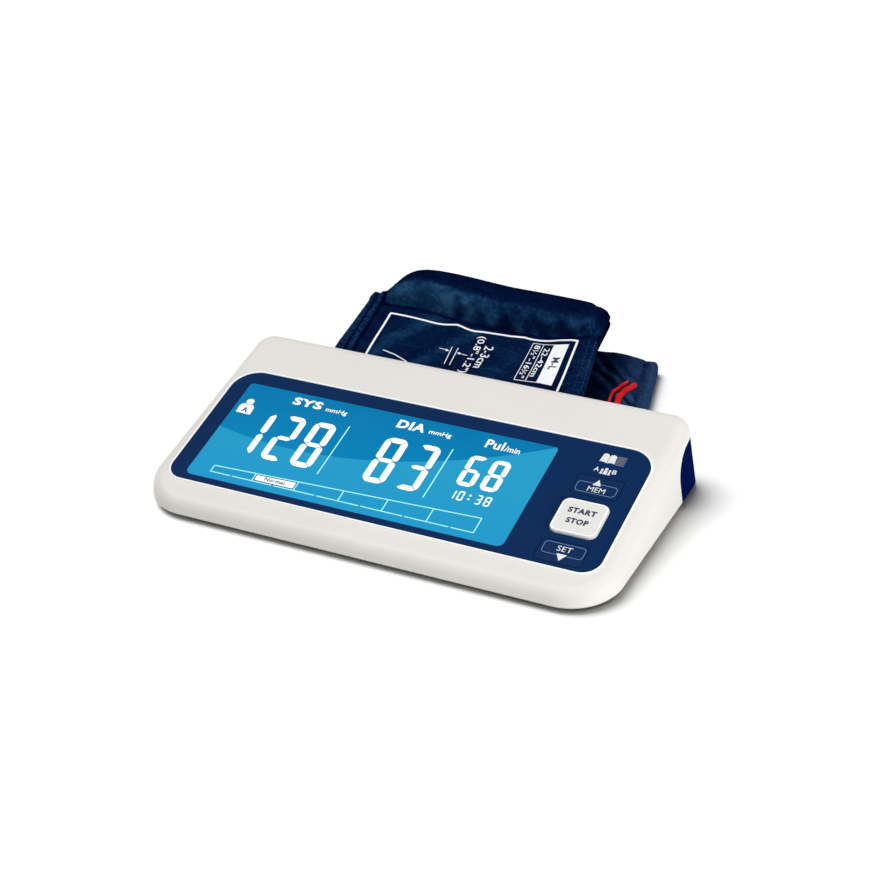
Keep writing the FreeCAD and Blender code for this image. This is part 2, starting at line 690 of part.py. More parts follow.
def buzzer():
    """Sounder under the board, with its mouth in the lower face."""
    body = new_body("buzzer")
    spot = (board_x - d.board_width / 2 + d.buzzer_left,
            d.board_front + board_length - d.buzzer_rear)
    disc = Outline(body, (0, *slope_point(ROOT, board_back)), tilt=tilt)
    pad(body, disc.circle(*spot, d.buzzer_radius), d.buzzer_height, up=False)
    mouth = Outline(body, (0, *slope_point(ROOT, board_back + d.buzzer_height)), tilt=tilt)
    pocket(body, mouth.circle(*spot, d.buzzer_mouth), d.buzzer_height / 2)
    return body


def pump_motor():
    can = round_bar("motor_can", d.motor_radius, d.motor_length, motor_left, motor_y, motor_z)
    cap = round_bar("motor_cap", d.cap_radius, d.cap_length, motor_left - d.cap_length, motor_y,
                    motor_z)
    return fuse("pump_motor", [can, cap])


def pump_head():
    port_x, port_z = pump_port
    base = block("head_block", d.head_length, d.head_side, d.head_side,
                 head_left + d.head_length / 2, motor_y, floor_z + d.head_lift)
    nipple = round_bar("head_nipple", d.nipple_radius, d.short_nipple, port_x,
                       motor_y - d.head_side / 2 - d.short_nipple, port_z, "y")
    return fuse("pump_head", [base, nipple])


def pump_cradle():
    saddle = block("cradle_block", d.cradle_length, d.cradle_width, d.cradle_height,
                   motor_left + d.motor_length / 2, motor_y, floor_z)
    seat = round_bar("cradle_seat", d.motor_radius + d.cradle_gap, d.motor_length, motor_left,
                     motor_y, motor_z)
    return cut("pump_cradle", saddle, seat)


def air_manifold():
    """Block on the floor that joins the pump, sensor, valve and air socket."""
    port_x, port_z = pump_port
    line_y, line_z = sensor_line()
    body = block("manifold_block", d.manifold_width, d.manifold_length, d.manifold_height,
                 manifold_x, manifold_front + d.manifold_length / 2, floor_z)
    riser = block("manifold_riser", d.riser_side, d.riser_side,
                  line_z + d.nipple_radius + d.riser_wall - floor_z,
                  manifold_left + d.riser_side / 2, sensor_y, floor_z)
    nipples = [round_bar("manifold_pump", d.nipple_radius, d.short_nipple, port_x, manifold_rear,
                         port_z, "y"),
               round_bar("manifold_socket", d.nipple_radius, d.nipple_length, air_x,
                         manifold_rear, d.air_height, "y"),
               round_bar("manifold_sensor", d.nipple_radius, d.nipple_length,
                         manifold_left - d.nipple_length, line_y, line_z)]
    return fuse("air_manifold", [body, riser] + nipples)


def exhaust_valve():
    """Solenoid valve in front of the manifold, plugged into it."""
    rear = manifold_front - d.port_length
    coil = block("valve_coil", d.valve_width, d.valve_length, d.valve_height, manifold_x,
                 rear - d.valve_length / 2, floor_z)
    neck = round_bar("valve_neck", d.nipple_radius, d.port_length, manifold_x, rear,
                     floor_z + d.valve_height / 2, "y")
    return fuse("exhaust_valve", [coil, neck])


def hose(name, length, x, y, z, axis):
    """A straight rubber tube that slips over the nipples at its ends."""
    bore = d.nipple_radius + d.tube_gap
    outer = round_bar(f"{name}_wall", bore + d.tube_wall, length, x, y, z, axis)
    inner = round_bar(f"{name}_bore", bore, length, x, y, z, axis)
    return cut(name, outer, inner)


def air_tubes():
    port_x, port_z = pump_port
    socket_front = rear_y - d.wall - d.air_height * tan_draft - d.air_bore_depth
    socket_tube = hose("tube_to_socket", socket_front - manifold_rear, air_x, manifold_rear,
                       d.air_height, "y")
    pump_tube = hose("tube_to_pump", d.line_gap, port_x, manifold_rear, port_z, "y")
    sensor_tube = hose("tube_to_sensor", d.sensor_gap, sensor_right, *sensor_line(), "x")
    return grouped("air_tubes", [socket_tube, pump_tube, sensor_tube])


def air_socket():
    """Cuff hose socket: outer barrel, flange behind the panel, inner nipple for the tube."""
    inner_wall = rear_y - d.wall - (d.air_height + d.air_flange) * tan_draft
    outer = rear_y - (d.air_height - d.foot_height) * tan_draft + d.socket_proud
    front = rear_y - d.wall - d.air_height * tan_draft - d.air_bore_depth
    body = new_body("air_socket")
    barrel = Outline(body, (0, 0, -front), plane="XZ_Plane")
    pad(body, barrel.circle(air_x, d.air_height, d.air_barrel), outer - front, up=False)
    flange = Outline(body, (0, 0, -inner_wall), plane="XZ_Plane")
    pad(body, flange.circle(air_x, d.air_height, d.air_flange), d.air_flange_thickness)
    nipple = Outline(body, (0, 0, -front), plane="XZ_Plane")
    pad(body, nipple.circle(air_x, d.air_height, d.nipple_radius), d.nipple_length)
    bore = Outline(body, (0, 0, -outer), plane="XZ_Plane")
    pocket(body, bore.circle(air_x, d.air_height, d.air_bore), d.air_bore_depth)
    drill = Outline(body, (0, 0, -outer), plane="XZ_Plane")
    pocket(body, drill.circle(air_x, d.air_height, d.nipple_bore))
    return body


def dc_jack():
    """Mains adapter jack: a round mouth through the panel and a square body."""
    outer = rear_y - (d.jack_height - d.foot_height) * tan_draft + d.socket_proud
    inner_wall = rear_y - d.wall - (d.jack_height + d.jack_body_height / 2) * tan_draft
    body = new_body("dc_jack")
    case = Outline(body, (0, 0, -inner_wall), plane="XZ_Plane")
    case.rectangle(d.jack_width, d.jack_body_height, jack_x, d.jack_height)
    pad(body, case, d.jack_length)
    mouth = Outline(body, (0, 0, -inner_wall), plane="XZ_Plane")
    mouth.circle(jack_x, d.jack_height, d.jack_barrel)
    pad(body, mouth, outer - inner_wall, up=False)
    bore = Outline(body, (0, 0, -outer), plane="XZ_Plane")
    bore.circle(jack_x, d.jack_height, d.jack_bore)
    pocket(body, bore, d.jack_bore_depth)
    return body


def base_tray():
    """Floor plate set inside the shell's rim, with a lip, the battery bay and screw seats."""
    inset = d.wall + d.seam
    width, depth = d.housing_width - 2 * inset, d.housing_depth - 2 * inset
    corner, rear = d.plan_corner - inset, d.rear_corner - inset
    body = new_body("base_tray")
    plate = Outline(body, (0, middle_y, d.foot_height))
    plate.rounded(width, depth, corner, rear=rear)
    pad(body, plate, d.floor_thickness + d.lip_height, taper=-d.draft)
    rim = d.lip_thickness + (d.floor_thickness + d.lip_height) * tan_draft
    dish = Outline(body, (0, middle_y, floor_z))
    dish.rounded(width - 2 * rim, depth - 2 * rim, corner - rim, rear=rear - rim)
    pocket(body, dish)
    bay = Outline(body, (0, 0, d.foot_height))
    bay.rectangle(bay_length + 2 * d.bay_wall, bay_width + 2 * d.bay_wall, bay_x, bay_y)
    pad(body, bay, bay_roof_z + d.bay_roof - d.foot_height)
    room = Outline(body, (0, 0, d.foot_height))
    room.rectangle(bay_length, bay_width, bay_x, bay_y)
    pocket(body, room, bay_roof_z - d.foot_height)
    seat = Outline(body, (0, 0, d.foot_height))
    seat.rectangle(bay_length + 2 * d.door_ledge, bay_width + 2 * d.door_ledge, bay_x, bay_y)
    pocket(body, seat, d.door_thickness + d.door_seat)
    notch = Outline(body, (0, 0, d.foot_height))
    notch.rectangle(d.notch_width, d.notch_depth, bay_x, door_rear + d.door_gap)
    pocket(body, notch, d.floor_thickness / 2)
    slots = Outline(body, (0, 0, door_top))
    for side in (-1, 1):
        slots.rectangle(d.hook_width + 4 * d.door_gap, 2 * (d.bay_wall + d.door_gap),
                        bay_x + d.hook_spread * side, bay_y - bay_width / 2)
    pocket(body, slots, d.hook_slot)
    feet = Outline(body, (0, 0, d.foot_height))
    heads = Outline(body, (0, 0, d.foot_height))
    shanks = Outline(body, (0, 0, d.foot_height))
    for x, y in foot_places():
        feet.circle(x, y, d.foot_radius + d.seam)
    for x, y in post_places():
        heads.circle(x, y, d.case_head + d.seam)
        shanks.circle(x, y, d.case_shank + d.seam)
    pocket(body, feet, d.foot_seat)
    pocket(body, heads, d.case_recess)
    pocket(body, shanks)
    posts = Outline(body, (0, 0, floor_z))
    for x, y in post_places():
        posts.circle(x, y, d.post_radius + d.fit)
    pocket(body, posts)
    vents = Outline(body, (0, 0, d.foot_height))
    for index in range(-2, 3):
        vents.rectangle(d.vent_width, d.vent_length, d.vent_x + d.vent_pitch * index,
                        face_y + d.vent_front + d.vent_length / 2)
    pocket(body, vents, d.floor_thickness)
    return body


def foot_places():
    side, front, rear = side_x - d.foot_inset, face_y + d.foot_front, rear_y - d.foot_rear
    return [(-side, front), (side, front), (-side, rear), (side, rear)]


def battery_door():
    """Flush door hinged on two hooks at its front edge, with a finger notch at the rear."""
    width = bay_length + 2 * (d.door_ledge - d.door_gap)
    body = new_body("battery_door")
    plate = Outline(body, (0, 0, d.foot_height))
    plate.polygon([(bay_x - width / 2, door_front), (bay_x + width / 2, door_front),
                   (bay_x + width / 2, door_rear), (bay_x - width / 2, door_rear)])
    pad(body, plate, d.door_thickness)
    hooks = Outline(body, (0, 0, door_top))
    reach = Outline(body, (0, 0, door_top + d.hook_lift))
    root = d.door_gap + d.door_ledge
    for side in (-1, 1):
        x = bay_x + d.hook_spread * side
        hooks.rectangle(d.hook_width, d.hook_thickness, x,
                        door_front + root + d.hook_thickness / 2)
        reach.rectangle(d.hook_width, root + d.hook_thickness + d.hook_reach, x,
                        door_front + (root + d.hook_thickness - d.hook_reach) / 2)
    pad(body, hooks, d.hook_lift)
    pad(body, reach, d.hook_thickness)
    thumb = Outline(body, (0, 0, d.foot_height))
    thumb.rectangle(d.notch_width, d.notch_depth, bay_x, door_rear)
    pocket(body, thumb, d.door_thickness / 2)
    return body


def cell_rows():
    """y of the two rows of cells and which way their tops point."""
    half = cell_pitch / 2
    return [(bay_y - half, -1), (bay_y + half, 1)]


def batteries():
    """Four AA cells in two rows; each row ends in its contacts."""
    cells = []
    span = d.cell_length + d.nub_height
    for row, (y, way) in enumerate(cell_rows(), 1):
        head = bay_x + (bay_length / 2 - d.contact_sheet) * way
        for place in range(2):
            top = head - span * place * way
            can_x = top - (d.nub_height + d.cell_length) if way > 0 else top + d.nub_height
            nub_x = top - d.nub_height if way > 0 else top
            name = f"cell_{row}_{place + 1}"
            can = round_bar(f"{name}_can", d.cell_radius, d.cell_length, can_x, y, cell_z)
            nub = round_bar(f"{name}_nub", d.nub_radius, d.nub_height, nub_x, y, cell_z)
            cells.append(fuse(name, [can, nub]))
    return grouped("batteries", cells)


def battery_plates():
    """Flat positive contacts, one at the head of each row."""
    sheets = []
    for row, (y, way) in enumerate(cell_rows(), 1):
        x = bay_x + (bay_length / 2 - d.contact_sheet / 2) * way
        sheets.append(block(f"plate_{row}", d.contact_sheet, d.contact_side, d.contact_side, x, y,
                            cell_z - d.contact_side / 2))
    return grouped("battery_plates", sheets)


def battery_springs():
    """Bent leaf springs that press on the cells' flat ends."""
    leaves = []
    span = 2 * (d.cell_length + d.nub_height) + d.contact_sheet
    for row, (y, way) in enumerate(cell_rows(), 1):
        body = new_body(f"leaf_{row}")
        wall = bay_x - bay_length / 2 * way
        tip = bay_x + (bay_length / 2 - span) * way
        low, high = y - d.contact_side / 2, y + d.contact_side / 2
        sheet_x, tip_back = wall + d.contact_sheet * way, tip - d.contact_sheet * way
        flat = Outline(body, (0, 0, cell_z - d.contact_side / 2))
        flat.polygon([(wall, low), (tip_back, y), (wall, high), (sheet_x, high), (tip, y),
                      (sheet_x, low)][::way])
        pad(body, flat, d.contact_side)
        leaves.append(body)
    return grouped("battery_springs", leaves)


def rubber_feet():
    feet = []
    for index, (x, y) in enumerate(foot_places(), 1):
        feet.append(round_bar(f"foot_{index}", d.foot_radius, d.foot_height + d.foot_seat, x, y,
                              ROOT, "z"))
    return grouped("rubber_feet", feet)


def case_screws():
    """Six screws from below into the cover's posts, their heads sunk in the tray."""
    screws = []
    top = d.foot_height + d.case_recess
    for index, (x, y) in enumerate(post_places(), 1):
        head = round_bar(f"case_head_{index}", d.case_head, d.case_head_height, x, y,
                         top - d.case_head_height, "z")
        shank = round_bar(f"case_shank_{index}", d.case_shank, d.case_screw, x, y, top, "z")
        screws.append(fuse(f"case_screw_{index}", [head, shank]))
    return grouped("case_screws", screws)


def board_screws():
    """Five small screws: two through the display frame's ears, three through the board."""
    screws = []
    ears, feet = boss_places()
    spots = [(x, up, board_depth) for x, up in ears] + [(x, up, board_back) for x, up in feet]
    for index, (x, up, depth) in enumerate(spots, 1):
        body = new_body(f"board_screw_{index}")
        head = Outline(body, (0, *slope_point(ROOT, depth)), tilt=tilt)
        pad(body, head.circle(x, up, d.small_head), d.small_head_height, up=False)
        shank = Outline(body, (0, *slope_point(ROOT, depth)), tilt=tilt)
        pad(body, shank.circle(x, up, d.small_shank), d.small_screw)
        screws.append(body)
    return grouped("board_screws", screws)


def turned(body, x, y, angle):
    """Moves a body made about the origin to x, y and turns it about the vertical."""
    turn = FreeCAD.Rotation(FreeCAD.Vector(0, 0, 1), number(angle))
    body.Placement = FreeCAD.Placement(FreeCAD.Vector(number(x), number(y), 0), turn)
    for prop, item in (("Placement.Base.x", x), ("Placement.Base.y", y),
                       ("Placement.Rotation.Angle", angle)):
        bind(body, prop, item)
    return body


# Sections of the cuff's bladder half, from its left end: share of the width, share of the roll's
# height, share of its depth and share of the leaf's sag
CUFF_SECTIONS = [(0, 0.22, 0.55, 0), (0.071, 0.26, 0.63, 0), (0.122, 0.68, 1, 0),
                 (0.161, 0.95, 1, 0.05), (0.244, 1, 1, 0.25), (0.56, 0.75, 1, 1),
                 (0.866, 0.63, 1, 0.25), (0.955, 0.45, 1, 0), (1, 0.34, 1, 0)]
# Corners of the roll, from its rear face over the crest to the seam: share of its depth from the
# seam and share of its height from the floor of the pack
ROLL_CORNERS = [(1, 0.72), (0.89, 0.89), (0.65, 0.99), (0.24, 0.99)]


def cuff_section(body, x, section, inset):
    """One section: a leaf that rises rearwards to a stitched seam, then a thick roll."""
    _, height, depth, sag = section
    low = d.strap_height + d.layer_gap + inset
    front = inset - d.cuff_fold / 2
    seam = d.cuff_fold / 2 - d.cuff_roll_depth
    seam_top = d.cuff_seam_top - d.leaf_sag * sag - inset
    crest = d.cuff_seam_top + (d.cuff_roll_top - d.cuff_seam_top) * height - inset
    reach = d.cuff_roll_depth * depth - inset
    rear = seam + reach
    roll = [(seam + reach * along, low + (crest - low) * up) for along, up in ROLL_CORNERS]
    foot = (seam + reach * 0.06, seam_top + (crest - seam_top) * 0.55)
    side = Outline(body, (0, 0, x), plane="YZ_Plane")
    side.polygon([(front + d.cuff_round, low), (rear - d.cuff_round, low),
                  (rear, low + d.cuff_round), *roll, foot, (seam, seam_top),
                  (front + d.cuff_round, d.cuff_front_top - inset),
                  (front, d.cuff_front_top - d.cuff_round / 2), (front, low + d.cuff_round)])
    return side.sketch


def cuff_body():
    """The folded bladder half of the cuff, carried through its sections from left to right."""
    body = new_body("cuff_body")
    left, right = -d.cuff_width / 2, d.cuff_width / 2
    first, last = CUFF_SECTIONS[0], CUFF_SECTIONS[-1]
    sketches = [cuff_section(body, left, first, d.cuff_edge),
                cuff_section(body, left + d.cuff_edge, first, 0)]
    sketches += [cuff_section(body, left + d.cuff_width * row[0], row, 0)
                 for row in CUFF_SECTIONS[1:-1]]
    sketches += [cuff_section(body, right - d.cuff_edge, last, 0),
                 cuff_section(body, right, last, d.cuff_edge)]
    loft = body.newObject("PartDesign::AdditiveLoft", "cuff_body_loft")
    loft.Profile = (sketches[0], [""])
    loft.Sections = [(sketch, [""]) for sketch in sketches[1:]]
    loft.Ruled = True
    doc.recompute()
    pouch = Outline(body, (0, 0, d.bladder_lift - d.bladder_gap))
    pouch.rectangle(d.bladder_width + 2 * d.bladder_gap, d.bladder_length + 2 * d.bladder_gap)
    pocket(body, pouch, d.bladder_thickness + 2 * d.bladder_gap)
    return turned(body, cuff_x, cuff_y, d.cuff_turn)


def cuff_bladder():
    body = new_body("cuff_bladder")
    bag = Outline(body, (0, 0, d.bladder_lift)).rectangle(d.bladder_width, d.bladder_length)
    pad(body, bag, d.bladder_thickness)
    return turned(body, cuff_x, cuff_y, d.cuff_turn)


def strap_side(body):
    """Side view of the strap: level under the bladder half, then falling to a thinner free end."""
    half = d.strap_width / 2
    line = Outline(body, plane="XZ_Plane")
    return line.polygon([(-half, 0), (half, 0), (half, d.strap_end),
                         (half - d.strap_fall, d.strap_height), (-half, d.strap_height)])


def cuff_strap():
    """The long closing strap, folded flat under the bladder half and showing at its right."""
    body = new_body("cuff_strap")
    pad(body, strap_side(body), d.strap_fold, both=True)
    rims = [f"Edge{index}" for index, edge in enumerate(body.Shape.Edges, 1)
            if abs(abs(edge.CenterOfMass.y) - d.strap_fold.value / 2) < 0.01]
    dress("Chamfer", body, rims, "Size", d.strap_edge)
    seat = Outline(body, (0, 0, d.strap_height - d.patch_thickness))
    seat.rectangle(d.patch_width + 2 * d.layer_gap, d.patch_length + 2 * d.layer_gap,
                   patch_side(), 0)
    pocket(body, seat)
    return turned(body, strap_x, strap_y, strap_turn)


def patch_side():
    return d.patch_width / 2 + d.patch_left - d.strap_width / 2


def cuff_hook_patch():
    """Hook fastener sewn on the strap's upper face, under the folded half."""
    body = new_body("cuff_hook_patch")
    patch = Outline(body, (0, 0, d.strap_height - d.patch_thickness))
    patch.rectangle(d.patch_width, d.patch_length, patch_side(), 0)
    pad(body, patch, d.patch_thickness)
    return turned(body, strap_x, strap_y, strap_turn)


def cuff_pull_tab():
    """Webbing tab that lies on the falling end of the strap."""
    body = new_body("cuff_pull_tab")
    half = d.strap_width / 2
    left, right = half - d.tab_inset - d.tab_width / 2, half - d.tab_inset + d.tab_width / 2
    fall = (d.strap_height - d.strap_end) / d.strap_fall
    low_left = d.strap_height - (left - half + d.strap_fall) * fall
    low_right = d.strap_height - (right - half + d.strap_fall) * fall
    side = Outline(body, (0, 0, d.tab_front - d.tab_length / 2), plane="XZ_Plane")
    side.polygon([(left, low_left), (right, low_right), (right, low_right + d.tab_thickness),
                  (left, low_left + d.tab_thickness)])
    pad(body, side, d.tab_length)
    return turned(body, strap_x, strap_y, strap_turn)


def cuff_port():
    """Hose nipple on the bladder half's left side."""
    z = d.bladder_lift + d.bladder_thickness / 2
    start = -d.cuff_width / 2
    body = new_body("cuff_port")
    base = Outline(body, (0, 0, start), plane="YZ_Plane")
    pad(body, base.circle(-d.port_front, z, d.port_radius), d.port_height, up=False)
    stem = Outline(body, (0, 0, start), plane="YZ_Plane")
    pad(body, stem.circle(-d.port_front, z, d.hose_radius), d.port_height + d.hose_length, up=False)
    bore = Outline(body, (0, 0, start), plane="YZ_Plane")
    pocket(body, bore.circle(-d.port_front, z, d.hose_bore), up=False)
    return turned(body, cuff_x, cuff_y, d.cuff_turn)


def keys():
    names = ("start_stop_key", "mem_key", "set_key")
    caps = [key_cap(name, *row) for name, row in zip(names, key_table())]
    pins = [key_plunger(name.replace("_key", "_plunger"), row[3])
            for name, row in zip(names, key_table())]
    return caps + pins


MAKERS = [top_cover, rear_panel, base_tray, fascia_panel, display_lens, lcd_glass,
          backlight_panel, lcd_frame, main_board, board_chips, key_switches, pressure_sensor,
          buzzer, pump_motor, pump_head, pump_cradle, air_manifold, exhaust_valve, air_tubes,
          air_socket, dc_jack, battery_door, batteries, battery_plates, battery_springs,
          rubber_feet, case_screws, board_screws, cuff_body, cuff_strap, cuff_bladder,
          cuff_hook_patch, cuff_pull_tab, cuff_port]
pieces = [maker() for maker in MAKERS] + keys()
doc.recompute()

for item in doc.Objects:
    if "Invalid" in item.State or "Error" in item.State:
        raise RuntimeError(f"{item.Name} failed: {item.State}")
for piece in pieces:
    if piece.Shape.isNull() or not piece.Shape.isValid() or not piece.Shape.Solids:
        raise RuntimeError(f"{piece.Label} has no sound shape")

os.makedirs("parts", exist_ok=True)
for piece in pieces:
    piece.Shape.exportStep(f"parts/{piece.Label}.step")
    box = piece.Shape.BoundBox
    print(f"{piece.Label:18} solids {len(piece.Shape.Solids)} volume {piece.Shape.Volume:10.1f}"
          f"  x {box.XMin:7.1f} {box.XMax:7.1f}  y {box.YMin:7.1f} {box.YMax:7.1f}"
          f"  z {box.ZMin:6.1f} {box.ZMax:6.1f}")
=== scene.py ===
import json
import math
import bmesh
import bpy
import numpy as np
from mathutils import Matrix, Vector


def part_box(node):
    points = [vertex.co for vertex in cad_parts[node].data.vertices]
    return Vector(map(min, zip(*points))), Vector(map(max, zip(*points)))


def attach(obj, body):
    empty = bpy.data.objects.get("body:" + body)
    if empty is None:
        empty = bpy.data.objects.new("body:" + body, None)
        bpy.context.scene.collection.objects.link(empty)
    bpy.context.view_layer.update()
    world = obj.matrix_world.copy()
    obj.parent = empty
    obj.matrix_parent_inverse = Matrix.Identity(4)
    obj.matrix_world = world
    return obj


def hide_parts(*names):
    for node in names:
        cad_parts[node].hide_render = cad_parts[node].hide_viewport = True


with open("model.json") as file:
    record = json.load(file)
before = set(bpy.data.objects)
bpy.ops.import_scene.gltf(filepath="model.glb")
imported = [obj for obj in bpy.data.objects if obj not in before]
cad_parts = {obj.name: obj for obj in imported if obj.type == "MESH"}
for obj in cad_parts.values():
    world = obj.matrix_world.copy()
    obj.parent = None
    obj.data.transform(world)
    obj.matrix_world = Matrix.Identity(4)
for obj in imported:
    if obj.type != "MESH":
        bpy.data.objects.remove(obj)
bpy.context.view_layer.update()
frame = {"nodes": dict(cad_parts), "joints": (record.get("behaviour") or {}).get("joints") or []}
nodes = frame["nodes"]
scene = bpy.context.scene
mm = 0.001
print("frame: %d nodes" % len(nodes))


def paint(red, green, blue):  # a colour as written on screen, 0 to 255, in the linear numbers a socket takes
    part = np.array([red, green, blue]) / 255.0
    return (*np.where(part <= 0.04045, part / 12.92, ((part + 0.055) / 1.055) ** 2.4).tolist(), 1.0)


class Nodes:  # a shader's node tree and short ways to add to it
    def __init__(self, tree):
        self.tree = tree

    def plug(self, value, socket):  # a number or a colour is set, another node's output is linked
        if isinstance(value, bpy.types.NodeSocket):
            self.tree.links.new(value, socket)
        else:
            socket.default_value = value

    def add(self, kind, **sockets):  # an underscore stands for the space in a socket's name
        node = self.tree.nodes.new("ShaderNode" + kind)
        for name, value in sockets.items():
            self.plug(value, node.inputs[name.replace("_", " ")])
        return node

    def span(self, source, low, high, newLow, newHigh):
        node = self.add("MapRange", Value=source, From_Min=low, From_Max=high, To_Min=newLow, To_Max=newHigh)
        return node.outputs["Result"]

    def maths(self, how, first, second):
        node = self.add("Math")
        node.operation = how
        self.plug(first, node.inputs[0])
        self.plug(second, node.inputs[1])
        return node.outputs[0]

    def cameraShare(self):  # 1 for what the camera sees, also in a gloss or through something clear, else 0
        rays = self.add("LightPath").outputs
        shiny = self.maths("MAXIMUM", rays["Is Glossy Ray"], rays["Is Transmission Ray"])
        return self.maths("MAXIMUM", rays["Is Camera Ray"], shiny)


class Finish(Nodes):  # one material
    def __init__(self, name, **sockets):
        self.material = bpy.data.materials.new(name)
        self.material.use_nodes = True
        super().__init__(self.material.node_tree)
        self.shader = [n for n in self.tree.nodes if n.type == "BSDF_PRINCIPLED"][0]
        self.where = self.add("TexCoord").outputs
        for socket, value in sockets.items():
            self.put(socket.replace("_", " "), value)

    def put(self, socket, source):
        self.plug(source, self.shader.inputs[socket])

    def place(self, stretch=(1, 1, 1), source="Object"):
        return self.add("Mapping", Scale=stretch, Vector=self.where[source]).outputs["Vector"]

    def noise(self, scale, detail=3.0, rough=0.5, at=None):
        at = at or self.where["Object"]
        return self.add("TexNoise", Scale=scale, Detail=detail, Roughness=rough, Vector=at).outputs["Fac"]

    def ramp(self, source, *stops):
        node = self.add("ValToRGB", Fac=source)
        band = node.color_ramp.elements
        while len(band) < len(stops):
            band.new(0.5)
        for element, (position, colour) in zip(band, stops):
            element.position, element.color = position, colour
        return node.outputs["Color"]

    def mix(self, factor, first, second):
        node = self.add("Mix")
        node.data_type = "RGBA"
        for socket, value in (("Factor", factor), (6, first), (7, second)):
            self.plug(value, node.inputs[socket])
        return node.outputs[2]

    def relief(self, source, strength, depth):  # bump, its depth in mm
        bump = self.add("Bump", Strength=strength, Distance=depth * mm, Height=source)
        self.put("Normal", bump.outputs["Normal"])

    def glow(self, colour, strength):
        self.put("Emission Color", colour)
        self.put("Emission Strength", strength)


def shade(colour, factor):
    return tuple(min(1.0, c * factor) for c in colour[:3]) + (1.0,)


def moulded(name, colour, roughness, grain=1400.0, relief=0.02, vary=0.05, gloss=0.5):
    # moulded plastic: a fine grain, a slow drift of the colour and a little rub in the roughness
    made, colour = Finish(name, Specular_IOR_Level=gloss), paint(*colour)
    drift = made.noise(22.0, 2.0)
    made.put("Base Color", made.ramp(drift, (0.3, shade(colour, 1 - vary)), (0.7, shade(colour, 1 + vary))))
    made.put("Roughness", made.span(made.noise(90.0, 4.0, 0.6), 0.3, 0.7, roughness - 0.05, roughness + 0.06))
    made.relief(made.noise(grain, 2.0, 0.6), 0.35, relief)
    return made


def brushed(name, colour, roughness, stretch):
    # metal: fine lines drawn out along one way, and a metallic shader
    made, colour = Finish(name, Metallic=1.0), paint(*colour)
    lines = made.noise(600.0, 3.0, 0.6, made.place(stretch))
    made.put("Base Color", made.ramp(lines, (0.35, shade(colour, 0.78)), (0.65, colour)))
    made.put("Roughness", made.span(lines, 0.2, 0.8, roughness - 0.08, roughness + 0.1))
    made.relief(lines, 0.3, 0.02)
    return made


plastics = {  # name, colour, roughness, then scale of the grain, its depth in mm, change of tone and gloss
    "shell": ("pearlShell", (233, 231, 226), 0.45, 1100.0, 0.02, 0.015, 0.25),
    "panel_navy": ("navyBack", (3, 19, 72), 0.45, 1200.0, 0.02, 0.08, 0.0),
    "fascia": ("navyFascia", (10, 44, 90), 0.14, 700.0, 0.003, 0.05, 0.02),
    "key_white": ("whiteKey", (233, 232, 229), 0.4, 1500.0, 0.012, 0.01, 0.25),
    "key_navy": ("navyKey", (10, 44, 90), 0.2, 1300.0, 0.006, 0.05, 0.03),
    "frame": ("screenFrame", (196, 200, 204), 0.5, 900.0, 0.03, 0.05),
    "pump_plastic": ("pumpPlastic", (40, 42, 46), 0.45, 1000.0, 0.03, 0.15),
    "tray": ("darkTray", (38, 44, 58), 0.55, 900.0, 0.04, 0.12),
    "rubber_part": ("softRubber", (46, 48, 52), 0.75, 700.0, 0.05, 0.15, 0.25),
    "tube": ("clearTube", (208, 212, 214), 0.32, 500.0, 0.01, 0.05),
    "port": ("greyPort", (58, 66, 86), 0.4, 1000.0, 0.02, 0.1),
    "light": ("lightPlate", (236, 240, 244), 0.3, 500.0, 0.01, 0.02),
    "chips": ("blackChips", (26, 27, 30), 0.38, 1600.0, 0.02, 0.2),
    "bladder": ("bladderFilm", (52, 66, 92), 0.4, 300.0, 0.05, 0.12),
}
finishes = {key: moulded(*entry) for key, entry in plastics.items()}
finishes["metal"] = brushed("drawnSteel", (186, 188, 190), 0.3, (1, 8, 1))
finishes["motor"] = brushed("motorCan", (176, 178, 182), 0.34, (8, 1, 1))


def boardFinish():
    # solder mask: straight tracks, the joints of a brick pattern, under a green coat
    made = Finish("greenBoard", Roughness=0.38)
    green, other, track = paint(18, 92, 58), paint(22, 104, 64), paint(52, 138, 86)
    tracks = made.add("TexBrick", Scale=260.0, Mortar_Size=0.06, Color1=green, Color2=other, Mortar=track)
    made.plug(made.where["Object"], tracks.inputs["Vector"])
    made.put("Base Color", tracks.outputs["Color"])
    made.relief(tracks.outputs["Fac"], 0.4, 0.03)
    return made


def cellFinish():
    # a dry cell's plain sleeve with a fine scuff along it
    made = Finish("cellSleeve", Roughness=0.3, Metallic=0.35)
    scuff = made.noise(140.0, 5.0, 0.7, made.place((0.2, 1, 1)))
    made.put("Base Color", made.ramp(scuff, (0.35, paint(150, 154, 160)), (0.6, paint(196, 198, 202))))
    made.relief(scuff, 0.2, 0.02)
    return made


def hookFinish():
    # hook fastener: round dots packed close, as bump and as light tips
    made = Finish("hookPile", Roughness=0.85)
    dots = made.add("TexVoronoi", Scale=900.0, Vector=made.where["Object"]).outputs["Distance"]
    made.put("Base Color", made.ramp(dots, (0.1, paint(58, 74, 110)), (0.6, paint(10, 18, 44))))
    made.relief(made.maths("SUBTRACT", 1.0, dots), 0.7, 0.25)
    return made


finishes["board"] = boardFinish()
finishes["cell"] = cellFinish()
finishes["hook"] = hookFinish()

screenLook = {  # colours from the top down, the curve between the halves, the share of light given off. The paler foot and the paler blue below the curve are a painted reflection of a soft gloss
    "top": (0, 122, 178), "aboveReflectionEdge": (0, 134, 190), "belowReflectionEdge": (40, 161, 207), "foot": (33, 157, 208),
    "mottle": (60, 176, 222), "reflectionEdgeLow": 32.4, "reflectionEdgeBend": 0.00259, "reflectionEdgeAt": -56.0, "glow": 0.5,
}


